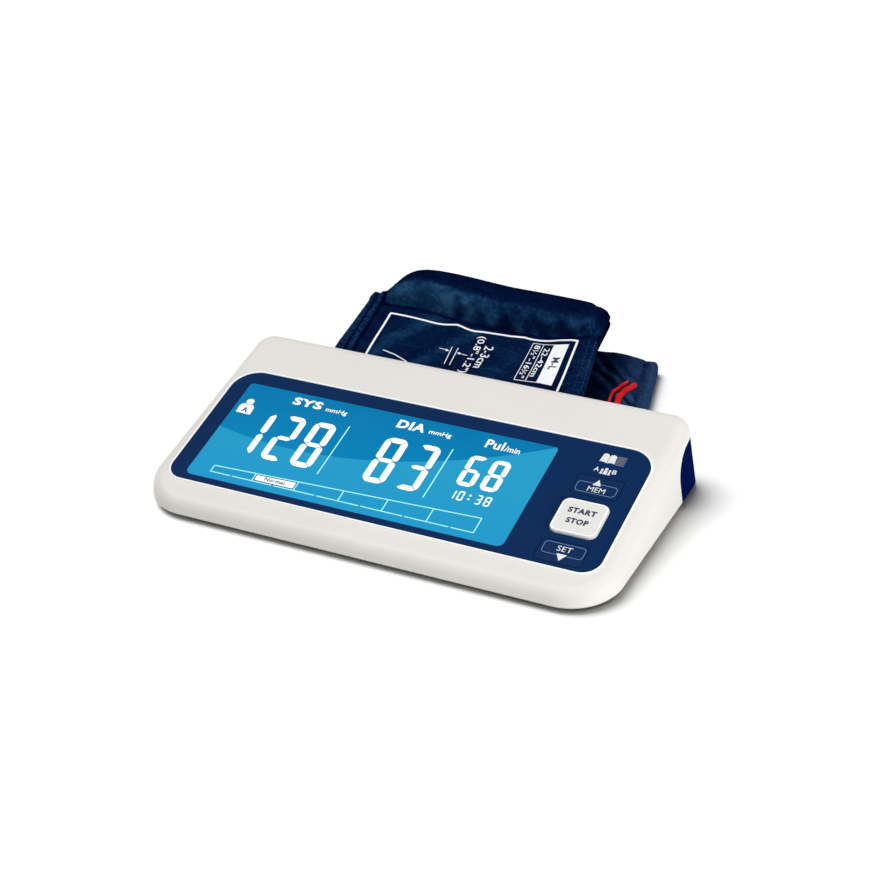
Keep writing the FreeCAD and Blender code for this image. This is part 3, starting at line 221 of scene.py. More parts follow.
def along(made, direction, start):  # distance in mm along a direction, on object coordinates
    dot = made.add("VectorMath")
    dot.operation = "DOT_PRODUCT"
    made.plug(made.where["Object"], dot.inputs[0])
    made.plug(tuple(d / mm for d in direction), dot.inputs[1])
    return made.maths("SUBTRACT", dot.outputs["Value"], float(np.dot(direction, start) / mm))


def unit(way):
    return way / np.linalg.norm(way, axis=-1, keepdims=True)


def aside(way):  # square to a flat direction, one long
    return unit(np.stack([-way[..., 1], way[..., 0]], -1))


press = [j for j in frame["joints"] if j["name"] == "start_stop_press"][0]
normal = -unit(np.array(press["axis"], float))
sideways, uphill = np.array([1.0, 0.0, 0.0]), np.array([0.0, normal[2], -normal[1]])


def meshPoints(mesh):
    flat = np.empty(len(mesh.vertices) * 3)
    mesh.vertices.foreach_get("co", flat)
    return flat.reshape(-1, 3)


def nodePoints(name):  # a node's points in metres
    return meshPoints(nodes[name].data)


facePoints = nodePoints("fascia_panel")
faceLevel = (facePoints @ normal).max()
faceFoot = (facePoints @ uphill).min()


def onFace(points):  # (x, up the slope, proud) in mm on the fascia, to a place in metres
    return (np.asarray(points, float) * mm + (0, faceFoot, faceLevel)) @ np.stack([sideways, uphill, normal])


def faceBox(name, above=-np.inf):
    # a node's left, right, foot, head and top on the fascia in mm, from those of its points above some level
    points = nodePoints(name)
    points = np.stack([points @ sideways, points @ uphill - faceFoot, points @ normal - faceLevel], 1) / mm
    points = points[points[:, 2] > above]
    (left, foot, _), (right, head, top) = points.min(0), points.max(0)
    return left, right, foot, head, top


keyTop = {name: faceBox(name)[4] for name in ("start_stop_key", "mem_key", "set_key")}
lensLeft, lensRight, lensFoot, _, lensLevel = faceBox("display_lens")
print("face: lens %.2f, key %.2f, mem %.2f, set %.2f mm proud" % (lensLevel, *keyTop.values()))


def screenFinish():
    # lit screen: a blue, paler below a curve whose height up the slope is low + bend (x - middle) squared.
    # The paler blue below the curve and towards the foot is a painted reflection, in the colour and in the
    # glow
    made = Finish("screenBluePaintedReflection", Roughness=0.12, Specular_IOR_Level=0.02)
    start = faceFoot * uphill + faceLevel * normal
    up = along(made, uphill, start)
    side = along(made, sideways, screenLook["reflectionEdgeAt"] * mm * sideways)
    bend = made.maths("MULTIPLY", made.maths("MULTIPLY", side, side), screenLook["reflectionEdgeBend"])
    curve = made.maths("ADD", bend, screenLook["reflectionEdgeLow"])
    # painted reflection: 1 below the curve of the gloss boundary, 0 above it
    below = made.span(made.maths("SUBTRACT", up, curve), -0.2, 0.3, 0.0, 1.0)
    tint = {name: paint(*value) for name, value in screenLook.items() if isinstance(value, tuple)}
    # painted reflection: the blue pales from the top down towards the foot
    lowTone = made.mix(made.span(up, 5.0, 40.0, 0.0, 1.0), tint["foot"], tint["belowReflectionEdge"])
    highTone = made.mix(made.span(up, 30.0, 70.0, 0.0, 1.0), tint["aboveReflectionEdge"], tint["top"])
    tone = made.mix(below, lowTone, highTone)
    grainy = made.mix(made.span(made.noise(60.0), 0.3, 0.7, 0.0, 0.04), tone, tint["mottle"])
    made.put("Base Color", made.mix(0.5, grainy, (0.0, 0.0, 0.0, 1.0)))
    made.glow(grainy, screenLook["glow"])
    made.relief(made.noise(40.0, 1.0), 0.1, 0.01)
    return made


finishes["lens"] = screenFinish()
finishes["display"] = moulded("screenGlass", (30, 120, 170), 0.2, 500.0, 0.01, 0.05)

finishNodes = {
    "shell": "top_cover", "panel_navy": "rear_panel", "tray": "base_tray battery_door",
    "fascia": "fascia_panel", "lens": "display_lens", "display": "lcd_glass", "light": "backlight_panel",
    "board": "main_board", "frame": "lcd_frame start_stop_plunger mem_plunger set_plunger",
    "motor": "pump_motor exhaust_valve", "pump_plastic": "buzzer pump_head air_manifold dc_jack",
    "chips": "board_chips key_switches pressure_sensor", "rubber_part": "pump_cradle rubber_feet",
    "tube": "air_tubes", "port": "air_socket cuff_port", "cell": "batteries",
    "metal": "battery_plates battery_springs case_screws board_screws",
    "bladder": "cuff_body cuff_strap cuff_bladder cuff_pull_tab", "hook": "cuff_hook_patch",
    "key_white": "start_stop_key", "key_navy": "mem_key set_key",
}
for finishName, nodeNames in finishNodes.items():
    for nodeName in nodeNames.split():
        mesh = nodes[nodeName].data
        mesh.materials.clear()
        mesh.materials.append(finishes[finishName].material)
print("finishes: %d" % len(finishes))


def build(name, points, faces, finish, slotName, body, smooth=False, weave=None, tone=None):
    mesh = bpy.data.meshes.new(name)
    mesh.from_pydata(np.asarray(points, float).tolist(), [], faces)
    if weave is not None:
        layer = mesh.uv_layers.new(name="weave")
        layer.data.foreach_set("uv", np.asarray(weave, np.float32).ravel())
    if tone is not None:
        values = mesh.attributes.new("tone", "FLOAT", "POINT").data
        values.foreach_set("value", np.asarray(tone, np.float32).ravel())
    shape = bmesh.new()
    shape.from_mesh(mesh)
    bmesh.ops.remove_doubles(shape, verts=shape.verts, dist=1e-7)
    bmesh.ops.recalc_face_normals(shape, faces=shape.faces)
    shape.to_mesh(mesh)
    shape.free()
    mesh.polygons.foreach_set("use_smooth", [smooth] * len(mesh.polygons))
    mesh.materials.append(finish.material)
    piece = bpy.data.objects.new(name, mesh)
    scene.collection.objects.link(piece)
    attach(piece, body)
    return piece


def lengths(path):  # how far along a path each of its points lies
    return np.concatenate([[0], np.cumsum(np.linalg.norm(np.diff(path, axis=0), axis=1))])


def walk(path, want):  # the places at some lengths along a path
    return np.column_stack([np.interp(want, lengths(path), axis) for axis in path.T])


def skin(rings, wrap=False):
    # rings of points joined into one closed surface: quads between neighbours, and a fan to the middle at
    # both ends unless the last ring meets the first
    rings = np.asarray(rings, float)
    count, around = rings.shape[:2]
    index = np.arange(count * around).reshape(count, around)
    beside = np.roll(index, -1, axis=1)
    corners = [index, beside, np.roll(beside, -1, axis=0), np.roll(index, -1, axis=0)]
    faces = np.stack(corners, -1)[:count if wrap else count - 1].reshape(-1, 4).tolist()
    if wrap:
        return rings.reshape(-1, 3), faces
    for end, middle in ((0, count * around), (-1, count * around + 1)):
        faces += np.stack([index[end], np.roll(index[end], -1), np.full(around, middle)], -1).tolist()
    return np.vstack([rings.reshape(-1, 3), rings[0].mean(0), rings[-1].mean(0)]), faces


def weaveMap(rings):
    # a flat map of an open loft, in the order of skin's faces: length along and length round, in metres
    girth = np.linalg.norm(np.roll(rings, -1, axis=1) - rings, axis=2).mean(0)
    grid = np.meshgrid(lengths(rings.mean(1)), np.concatenate([[0], np.cumsum(girth)]), indexing="ij")
    grid = np.stack(grid, -1)
    quads = np.stack([grid[:-1, :-1], grid[:-1, 1:], grid[1:, 1:], grid[1:, :-1]], 2)
    fans = [np.stack([end, np.roll(end, -1, axis=0), end * 0 + end.mean(0)], 1) for end in rings[[0, -1]]]
    return np.vstack([quads.reshape(-1, 2), *[fan[:, :, 1:].reshape(-1, 2) for fan in fans]])


def atLevel(flat, level):  # flat points given a height
    return np.column_stack([flat, np.full(len(flat), level)])


def boxSections(one, other, low, high):  # at each place a four-sided section between two lines and two levels
    return np.stack([atLevel(one, low), atLevel(other, low), atLevel(other, high), atLevel(one, high)], 1)


def bead(path, out, radius, level, around, wrap=False):
    # a round section carried along a flat path: out is the way sideways, and the radius may vary
    turn = np.linspace(0, 2 * math.pi, around, endpoint=False)
    radius = np.broadcast_to(radius, len(path))[:, None]
    flat = path[:, None] + (radius * np.cos(turn))[:, :, None] * np.broadcast_to(out, path.shape)[:, None]
    return skin(np.concatenate([flat, (level + radius * np.sin(turn))[:, :, None]], -1), wrap)


ink = (-0.04, 0.05)  # a mark's underside and top, mm about the surface that carries it


def slab(outlines, low=ink[0], high=ink[1]):
    # flat marks with a thickness: every outline once at the low level and once at the high one, walls between
    points, faces = [], []
    for outline in outlines:
        outline = np.asarray(outline, float)
        size, start = len(outline), sum(len(p) for p in points)
        points += [atLevel(outline, low), atLevel(outline, high)]
        bottom = np.arange(start, start + size)
        top = bottom + size
        faces.append(bottom[::-1].tolist())
        faces.append(top.tolist())
        faces += np.stack([bottom, np.roll(bottom, -1), np.roll(top, -1), top], -1).tolist()
    return np.vstack(points), faces


def word(text, left, right, low, high, bold=0.0, levels=ink, turn=0):
    # letters as a font curve made into a mesh, then stretched to its box; turn is in quarter turns
    curve = bpy.data.curves.new("letters", "FONT")
    curve.body = text
    curve.extrude = 0.5
    curve.offset = bold
    curve.space_character = 1.0 + 3.0 * bold  # heavier letters stand further apart
    curve.resolution_u = 3
    holder = bpy.data.objects.new("letters", curve)
    scene.collection.objects.link(holder)
    mesh = bpy.data.meshes.new_from_object(holder.evaluated_get(bpy.context.evaluated_depsgraph_get()))
    points, faces = meshPoints(mesh), [list(p.vertices) for p in mesh.polygons]
    bpy.data.objects.remove(holder)
    bpy.data.curves.remove(curve)
    bpy.data.meshes.remove(mesh)
    for _ in range(turn % 4):
        points = np.column_stack([-points[:, 1], points[:, 0], points[:, 2]])
    share = (points - points.min(0)) / np.ptp(points, axis=0)
    return share * (right - left, high - low, levels[1] - levels[0]) + (left, low, levels[0]), faces


def gather(*parts):  # several (points, faces) into one
    points, faces, start = [], [], 0
    for some, their in parts:
        points.append(some)
        faces += [[start + v for v in face] for face in their]
        start += len(some)
    return np.vstack(points), faces


def stroke(start, end, width):  # a straight line of a width, as an outline
    start, end = np.array(start, float), np.array(end, float)
    side = aside(end - start) * width / 2
    return [start + side, start - side, end - side, end + side]


def disc(x, u, radius, count=20):
    turn = np.linspace(0, 2 * math.pi, count, endpoint=False)
    return np.column_stack([x + radius * np.cos(turn), u + radius * np.sin(turn)])


def arc(x, u, radius, start, end, steps=4):  # points of an arc, its angles in degrees
    turn = np.radians(np.linspace(start, end, steps))
    return list(zip(x + radius * np.cos(turn), u + radius * np.sin(turn)))


def oblong(left, right, low, high):
    return [(left, low), (right, low), (right, high), (left, high)]


def roundedPath(left, right, low, high, radii, steps):
    # a rounded rectangle's points and the way out at each: four arcs, a radius each, the upper right first
    turn = (np.linspace(0, math.pi / 2, steps) + np.arange(4)[:, None] * math.pi / 2).ravel()
    out = np.column_stack([np.cos(turn), np.sin(turn)])
    a, b, c, d = radii
    middles = [(right - a, high - a), (left + b, high - b), (left + c, low + c), (right - d, low + d)]
    return np.repeat(middles, steps, axis=0) + out * np.repeat(radii, steps)[:, None], out


def markFinish(name, colour, glow=0.0, rough=0.4):
    # printed ink, a lit segment or a painted highlight line: an even film with a slight mottle
    made, colour = Finish(name, Specular_IOR_Level=0.2), paint(*colour)
    mottle = made.noise(500.0, 3.0)
    made.put("Base Color", made.ramp(mottle, (0.35, shade(colour, 0.93)), (0.6, colour)))
    made.put("Roughness", made.span(mottle, 0.3, 0.7, rough - 0.05, rough + 0.05))
    made.relief(mottle, 0.2, 0.01)
    if glow:
        made.glow(colour, glow)
    return made


litWhite = markFinish("litSegments", (250, 253, 255), 0.35)
darkMark = markFinish("darkMarks", (14, 66, 112))
barBlue = markFinish("barLines", (160, 232, 246), 0.4)
whiteInk = markFinish("whiteInk", (238, 240, 242))
navyInk = markFinish("navyInk", (12, 22, 52))
greyInk = markFinish("greyInk", (108, 116, 130))
blueInk = markFinish("blueInk", (122, 156, 200))
# painted highlight: a near-white glowing line standing for light caught on the key's bevel
keyRimPaintedHighlight = markFinish("keyRimPaintedHighlight", (252, 252, 252), 0.12, 0.25)

figures = [  # digit, left, right, foot, head, stroke width in mm: the two pressures, the pulse, the time
    ("1", -84.6, -74.2, 23.0, 52.8, 3.3), ("2", -69.4, -58.3, 22.8, 53.0, 3.3),
    ("8", -54.0, -42.3, 22.8, 53.0, 3.4),
    ("8", -16.5, -4.8, 23.4, 53.2, 3.4), ("3", 0.6, 11.9, 23.4, 53.2, 3.3),
    ("6", 26.3, 35.2, 33.4, 53.2, 2.7), ("8", 37.8, 46.7, 33.4, 53.2, 2.7),
    ("1", 27.0, 29.7, 24.6, 30.4, 0.75), ("0", 30.9, 33.8, 24.6, 30.4, 0.75),
    ("3", 39.6, 42.5, 24.6, 30.4, 0.75), ("8", 43.9, 46.9, 24.6, 30.4, 0.75),
]
lit = {"0": "abcdef", "1": "bc", "2": "abged", "3": "abgcd", "6": "acdefg", "8": "abcdefg"}


def segments(digit, left, right, foot, head, wide):
    # a figure's seven bars: outer corners rounded, cut through on the diagonal, each drawn in by a hair.
    # Three of them, measured from the figure's middle, give the rest when turned over
    middle = np.array([left + right, foot + head]) / 2
    x, u = (right - left) / 2, (head - foot) / 2
    half, c = wide / 2, wide * 1.15
    inner, under, slope, notch = x - wide, u - wide, half * 0.8, half * 0.35
    upper = [*arc(c - x, u - c, c, 135, 90), *arc(x - c, u - c, c, 90, 45), (inner, under), (-inner, under)]
    side = [*arc(c - x, u - c, c, 180, 135), (-inner, under), (-inner, slope), (half - x, half * 0.1),
            (notch - x, notch), (-x, half)]
    level = [(half - x, 0), (-inner, slope), (inner, slope), (x - half, 0), (inner, -slope), (-inner, -slope)]
    bars = {"a": (upper, 1, 1), "b": (side, -1, 1), "c": (side, -1, -1), "d": (upper, 1, -1),
            "e": (side, 1, -1), "f": (side, 1, 1), "g": (level, 1, 1)}
    outlines = [np.array(line) * (across, up) for line, across, up in (bars[name] for name in lit[digit])]
    return [middle + line + unit(line.mean(0) - line) * wide * 0.075 for line in outlines]


def onFascia(name, part, finish, level=0.0, body="housing", slotName="fascia"):
    points, faces = part
    build(name, onFace(points + np.array([0, 0, level])), faces, finish, slotName, body)


def onScreen(name, part, finish):
    onFascia(name, part, finish, lensLevel, "housing", "lens")


skirt = {"drop": 4.3, "corner": 3.2, "cover": 0.6, "overlap": 3.0}  # the lit face runs on below the lens, mm
skirtLow, skirtHigh = lensFoot - skirt["drop"], lensFoot + skirt["cover"] + skirt["overlap"]
skirtLine = [
    (lensRight, skirtHigh), (lensLeft, skirtHigh),
    *arc(lensLeft + skirt["corner"], skirtLow + skirt["corner"], skirt["corner"], 180, 270, 6),
    *arc(lensRight - skirt["corner"], skirtLow + skirt["corner"], skirt["corner"], -90, 0, 6),
]
skirtPart = slab([skirtLine], -0.3, max(lensLevel, 0.0) + 0.02)
onFascia("screenSkirt", skirtPart, finishes["lens"], 0.0, "housing", "lens")

digits = [bar for entry in figures for bar in segments(*entry)]
digits += [oblong(36.0, 37.0, 26.0, 27.0), oblong(36.0, 37.0, 28.4, 29.4)]  # the colon
onScreen("screenFigures", slab(digits), litWhite)

screenWords = [  # text, left, right, foot, head, boldness
    ("SYS", -71.9, -56.4, 60.4, 65.4, 0.035),
    ("DIA", -16.0, -1.8, 59.9, 65.2, 0.035),
    ("Pul", 29.4, 38.4, 59.2, 64.6, 0.02),
    ("/min", 39.1, 46.6, 59.2, 62.8, 0.008),
    ("mmHg", -53.7, -42.4, 59.6, 63.0, 0.01),
    ("mmHg", 0.7, 12.0, 59.5, 62.9, 0.01),
]
onScreen("screenWords", gather(*[word(*entry) for entry in screenWords]), litWhite)

dividers = [stroke((-37.2, 21.1), (-37.2, 54.2), 0.55), stroke((16.4, 21.6), (16.4, 53.9), 0.55)]
onScreen("screenDividers", slab(dividers), barBlue)

bar = {
    "left": -86.8, "right": 47.2, "foot": 8.4, "headLeft": 12.4, "headRight": 17.5, "line": 0.5, "gap": 0.5,
    "stops": (-64.8, -42.9, -20.0, 2.0, 24.2),
    "boxEdge": [(-64.3, 8.9), (-43.3, 8.9), (-43.3, 13.6), (-64.3, 12.8)],
    "box": [(-63.8, 9.35), (-43.8, 9.35), (-43.8, 13.1), (-63.8, 12.35)],
    "word": (-59.2, -48.8, 10.1, 12.3),
}


def barHead(x):  # the bar's sloping upper line
    part = (x - bar["left"]) / (bar["right"] - bar["left"])
    return bar["headLeft"] + (bar["headRight"] - bar["headLeft"]) * part


def barLines():
    ends = (bar["left"], *bar["stops"], bar["right"])
    cells = list(zip(ends[:-1], ends[1:]))
    runs = [((a, bar["foot"]), ((a + b) / 2 - bar["gap"], bar["foot"])) for a, b in cells]
    runs += [(((a + b) / 2 + bar["gap"], bar["foot"]), (b, bar["foot"])) for a, b in cells]
    runs += [((bar["left"], barHead(bar["left"])), (bar["right"], barHead(bar["right"])))]
    runs += [((x, bar["foot"]), (x, barHead(x))) for x in ends]
    return slab([stroke(start, end, bar["line"]) for start, end in runs])


onScreen("screenBar", barLines(), barBlue)
onScreen("screenBoxEdge", slab([bar["boxEdge"]], -0.04, 0.06), darkMark)
onScreen("screenBox", slab([bar["box"]], -0.04, 0.09), litWhite)
onScreen("screenBoxWord", word("Normal", *bar["word"], 0.03, (0.05, 0.13)), darkMark)

person = {"head": (-92.1, 56.1, 1.95), "collar": 2.4, "letter": (-93.7, -90.4, 48.8, 52.2)}
body = [
    (-95.7, 48.1), (-88.0, 47.9), (-88.3, 52.7), (-89.2, 53.9),
    *arc(*person["head"][:2], person["collar"], -40, -140, 7), (-95.2, 53.9), (-96.0, 52.4),
]
onScreen("screenPerson", slab([disc(*person["head"]), body]), litWhite)
onScreen("screenPersonLetter", word("A", *person["letter"], 0.03, (0.02, 0.09)), darkMark)
print("screen marks done")


def frameStroke(left, right, low, high, radius, width):  # a rounded rectangle's line, square in section
    path, out = roundedPath(left, right, low, high, (radius,) * 4, 6)
    return skin(boxSections(path - out * width / 2, path + out * width / 2, *ink), wrap=True)


keyBox = faceBox("start_stop_key", 0.3)[:4]  # of the part above the fascia, without its flange
keyMarks = {
    "rimInset": 0.75, "rimRadius": 3.1, "rimWidth": 0.7,
    "start": (81.9, 95.0, 31.3, 34.5), "stop": (83.4, 93.6, 25.1, 28.3), "bold": 0.045,
    "mem": (84.5, 92.6, 46.7, 49.7), "memTip": [(85.7, 50.7), (89.6, 50.7), (87.7, 54.5)],
    "memLine": (79.0, 97.6, 45.8, 51.8),
    "set": (85.7, 92.6, 9.4, 12.5), "setTip": [(86.6, 8.0), (89.0, 4.0), (91.4, 8.0)],
    "setLine": (79.4, 98.2, 7.2, 13.8), "lineRadius": 1.6, "lineWidth": 0.22,
}


def onKey(name, part, finish, key, slotName="key_navy", sink=0.0):
    onFascia(name, part, finish, keyTop[key] - sink, key + "_body", slotName)


# the rim line on the key is a painted highlight of its bevel
rimBox = [edge + way * keyMarks["rimInset"] for edge, way in zip(keyBox, (1, -1, 1, -1))]
rimLine = frameStroke(*rimBox, keyMarks["rimRadius"], keyMarks["rimWidth"])
startWords = gather(*[word(text, *keyMarks[text.lower()], keyMarks["bold"]) for text in ("START", "STOP")])
onKey("keyRim", rimLine, keyRimPaintedHighlight, "start_stop_key", "key_white")
onKey("startWord", startWords, navyInk, "start_stop_key", "key_white")
for small in ("mem", "set"):
    letters = gather(word(small.upper(), *keyMarks[small]), slab([keyMarks[small + "Tip"]]))
    onKey(small + "Mark", letters, whiteInk, small + "_key")
for small in ("mem", "set"):
    line = frameStroke(*keyMarks[small + "Line"], keyMarks["lineRadius"], keyMarks["lineWidth"])
    onKey(small + "Line", line, blueInk, small + "_key", sink=0.02)

book = [
    [(83.0, 65.7), (84.8, 65.8), (86.5, 65.2), (86.6, 69.6), (85.9, 70.7), (84.9, 71.1), (84.0, 70.9),
     (83.5, 70.4)],
    [(86.8, 65.2), (88.4, 65.8), (90.2, 65.5), (89.9, 70.0), (89.2, 70.7), (88.2, 71.0), (87.3, 70.6),
     (86.8, 69.8)],
]
onFascia("bookMark", slab(book), whiteInk)
hatch = {"left": 90.4, "right": 94.6, "foot": 65.3, "pitch": 0.85, "count": 7, "line": 0.5}
levels = [hatch["foot"] + k * hatch["pitch"] for k in range(hatch["count"])]
shading = [stroke((hatch["left"], u), (hatch["right"], u), hatch["line"]) for u in levels]
onFascia("bookShade", slab(shading), greyInk)
people = [
    disc(88.2, 61.6, 0.8, 12), [(87.2, 58.3), (89.2, 58.3), (88.9, 60.8), (87.5, 60.8)],
    disc(86.4, 60.9, 0.6, 10), [(85.7, 58.3), (86.9, 58.3), (86.8, 60.2), (86.0, 60.2)],
    disc(90.0, 60.9, 0.6, 10), [(89.5, 58.3), (90.7, 58.3), (90.4, 60.2), (89.6, 60.2)],
]
userLetters = [word("A", 82.6, 85.0, 59.4, 62.0, 0.02), word("B", 91.2, 93.2, 59.4, 62.0, 0.02)]
onFascia("userMarks", gather(slab(people), *userLetters), whiteInk)
print("face marks done")


cuff = {"turn": 4.5, "besideBladder": (2.5, -0.96)}  # degrees, and the pack's middle in mm from the bladder's
cuff["x"], cuff["y"] = np.mean(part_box("cuff_bladder"), 0)[:2] / mm + cuff["besideBladder"]


def axes(points):
    return np.moveaxis(np.asarray(points, float), -1, 0)


def swung(x, y, degrees):  # turned about the origin
    c, s = math.cos(math.radians(degrees)), math.sin(math.radians(degrees))
    return x * c - y * s, x * s + y * c


def cuffPlace(points):  # cuff coordinates in mm, along and across, to metres
    x, y, z = axes(points)
    x, y = swung(x, y, cuff["turn"])
    return np.stack([cuff["x"] + x, cuff["y"] + y, z], -1) * mm


def ease(x, start, end):  # 0 before start, 1 after end, smooth between
    t = np.clip((x - start) / (end - start), 0, 1)
    return t * t * (3 - 2 * t)


def ripples(x, y, seed, scale, count=14):
    # folds: a sum of sine waves with seeded directions, lengths and phases, about 0 and up to about 1
    pick = np.random.default_rng(seed)
    total = np.zeros(np.broadcast(x, y).shape)
    for _ in range(count):
        way, length, phase = pick.uniform(0, math.pi), pick.uniform(0.6, 1.8) * scale, pick.uniform(0, 6.28)
        total += np.sin((x * math.cos(way) + y * math.sin(way)) * 6.283 / length + phase)
    return total / math.sqrt(count) / 1.6


def bells(x, *rows):  # a sum of soft bumps, each with its place, width and height
    return sum(high * np.exp(-((x - at) / wide) ** 2) for at, wide, high in rows)


def swell(wave, power):  # a sine or cosine squared off, its sign kept
    return np.sign(wave) * np.abs(wave) ** power


def dome(part):  # a quarter circle, 0 to 1
    return np.sqrt(np.clip(1 - (1 - np.clip(part, 0, 1)) ** 2, 0, 1))


pack = {
    "left": -67.6, "right": 61.0, "front": -37.0, "back": 39.0, "foot": 11.5, "lessLeft": 15.5,
    "lessRight": 7.0, "roundLeft": 3.0, "roundRight": 3.2, "insetLeft": 2.6, "insetRight": 1.5,
    "powers": (0.42, 0.5, 0.4), "leafThick": 3.2, "leafFoot": 25.4, "leafSlope": 0.215, "leafFrom": -31.0,
    "sag": 2.6, "sagLess": (-14.0, 5.5, 1.0), "seamLeft": 11.5, "seamRight": 7.4, "valley": (0.0, 1.5, 1.1),
    "creases": ((2.6, 0.9, 0.5), (4.6, 1.0, 0.35), (-2.4, 1.0, 0.3)),  # from the seam, width, depth
    "ridges": ((-65.4, 1.1, 1.0), (-61.1, 1.2, 1.2), (-57.6, 0.9, 0.3)),  # left edge: place, width, height
    "rollWide": 12.0, "rollFall": 3.5, "rollCrease": (53.8, 0.9, 0.45), "rollSmooth": (-3.5, 0, 0, 3.5),
    "rollAt": (-67, -60.5, -57, -53.5, -50, -45, -38, -28, -18, -6, 5, 38, 49, 55, 61),
    "rollTop": (36.4, 36.8, 39.4, 42.4, 45.2, 47.4, 48.3, 47.9, 47.0, 45.5, 44.1, 41.9, 40.9, 40.3, 37.8),
    "edgeAt": (-38, -16, -2, 8, 15, 21, 25, 28, 39), "leftOut": 3.2,
    "edgeOut": (3.0, -0.6, -2.3, -2.8, -2.7, -2.3, -3.2, -5.0, -9.0),
}


def seamAt(x):  # how far back the stitched valley lies
    return pack["seamLeft"] + (pack["seamRight"] - pack["seamLeft"]) * ease(x, -40, 0)


def puckers(y):  # the gathers along the two short edges
    return np.sin(y * 2.4 + 1.5 * np.sin(y * 0.7))


def packTop(x, y):
    # the pack's upper side: a sloping leaf sagging in its middle, a stitched valley with creases, then a roll
    # whose front rises as a quarter ellipse to a crest that varies along x; both short edges carry ridges
    seam = seamAt(x)
    leaf = pack["leafFoot"] + pack["leafSlope"] * (y - pack["leafFrom"])
    sag = pack["sag"] * ease(x, -46, -2) * (1 - ease(x, 30, 50)) - bells(x, pack["sagLess"])
    leaf = leaf - sag * ease(y, -40, 2) + 0.28 * ripples(x, y, 5, 34.0)
    crest = sum(np.interp(x + shift, pack["rollAt"], pack["rollTop"]) for shift in pack["rollSmooth"]) / 4
    crest = crest - pack["rollFall"] * np.clip((y - 25) / 14, 0, 1) ** 2
    crest = crest + 0.35 * ripples(x, 0.4 * y, 31, 60.0)
    rise = np.clip((y - seam) / pack["rollWide"], 0, 1)
    climb = np.sqrt(np.clip(1 - (1 - rise) ** 2.3, 0, 1))
    roll = leaf + (crest - leaf) * climb * ease(y, seam - 0.5, seam + 1.5)
    slack = bells(x + 0.08 * (y - 18), pack["rollCrease"]) + 0.6 * ease(x, 53.8, 56)
    roll = roll - ease(y, seam, seam + 3) * slack
    top = np.where(y > seam - 0.5, roll, leaf)
    inside = ease(x, -60, -57)  # the valley and its creases stop at the puckered edge
    top = top - inside * bells(y - seam, pack["valley"])
    for shift, size, depth in pack["creases"]:
        wander = 0.8 * ripples(x, 0 * x, int(shift * 10) + 40, 46.0)
        deep = depth * (0.6 + 0.4 * ripples(x, 0 * x, int(shift * 7) + 60, 60.0))
        top = top - inside * deep * bells(y - seam - wander, (shift, size, 1.0))
    top = top + ripples(x * 1.3, y * 2.2, 71, 10.0) * bells(y - seam, (1.5, 2.6, 0.45)) * ease(x, -34, -12)
    gathered = 0.16 * puckers(y)
    top = top + (1 + gathered) * bells(x, *pack["ridges"]) * (1 - ease(y, 17, 21))
    piped = 0.7 * ease(x, 51.4, 52.4) + gathered * bells(x, (55.6, 1.6, 0.3))
    return top + piped * (1 - ease(y, seam + 4, seam + 9))


def edgeShift(x, y):  # how far the pack's two slanting sides are drawn out from a straight one
    right = np.interp(y, pack["edgeAt"], pack["edgeOut"]) * ease(x, 40, 61)
    return right - pack["leftOut"] * np.clip((8 - y) / 44, 0, 1) * ease(-x, 48, 62)


theta = np.linspace(0, 2 * math.pi, 1441)[:-1]
roundCos, roundSin = np.cos(theta), np.sin(theta)


def acrossLoft(near, far, shrink, power):  # a superellipse's places from side to side
    return (near + far) / 2 + ((far - near) / 2 - shrink) * swell(roundCos, power)


def heightLoft(level, top, low, upPower, downPower):  # its heights, with a power for each half
    upper, lower = (top - level) * np.abs(roundSin) ** upPower, (level - low) * np.abs(roundSin) ** downPower
    return level + np.where(roundSin >= 0, upper, -lower)


def evenLoop(x, y, z, around):  # a closed loop cut into equal steps
    loop = np.column_stack([x, y, z])
    loop = np.vstack([loop, loop[:1]])
    return walk(loop, np.linspace(0, lengths(loop)[-1], around, endpoint=False))


def packSurface(along, around):
    # a closed loft: at each place along x the section is a superellipse whose upper half reaches packTop and
    # whose lower half is flat; past the body's wall the thin leaf goes on alone, and both ends round off
    fine, plain = np.linspace(0.009, 0.075, 14), np.linspace(0.08, 0.94, along - 21)
    xs = np.concatenate([[0.0, 0.004], fine, plain, [0.958, 0.976, 0.988, 0.996, 1.0]])
    xs = pack["left"] + xs * (pack["right"] - pack["left"])
    leftRound = dome((xs - pack["left"]) / pack["roundLeft"])
    rightRound = dome((pack["right"] - xs) / pack["roundRight"])
    inset = pack["insetLeft"] * (1 - leftRound) + pack["insetRight"] * (1 - rightRound)
    backs = pack["back"] - pack["lessLeft"] * (1 - ease(xs, -62, -51)) - pack["lessRight"] * ease(xs, 47, 60)
    rings = []
    for place, shrink, back in zip(xs, inset, backs):
        y = acrossLoft(pack["front"], back, shrink, pack["powers"][0])
        x = np.full_like(y, place)
        top = packTop(x, y) - shrink
        low = pack["foot"] + shrink
        leafPart = 1 - ease(y, 5, 11)
        under = top - pack["leafThick"] * (2 - leafPart) + 1.5 * shrink  # where the leaf is alone
        low = low + (under - low) * (ease(x, 50.5, 53.0) * leafPart + ease(x, 50.5, 57.5) * (1 - leafPart))
        z = heightLoft(low + 0.42 * (top - low), top, low, *pack["powers"][1:])
        rings.append(evenLoop(x + edgeShift(x, y), y, z, around))
    return np.array(rings)


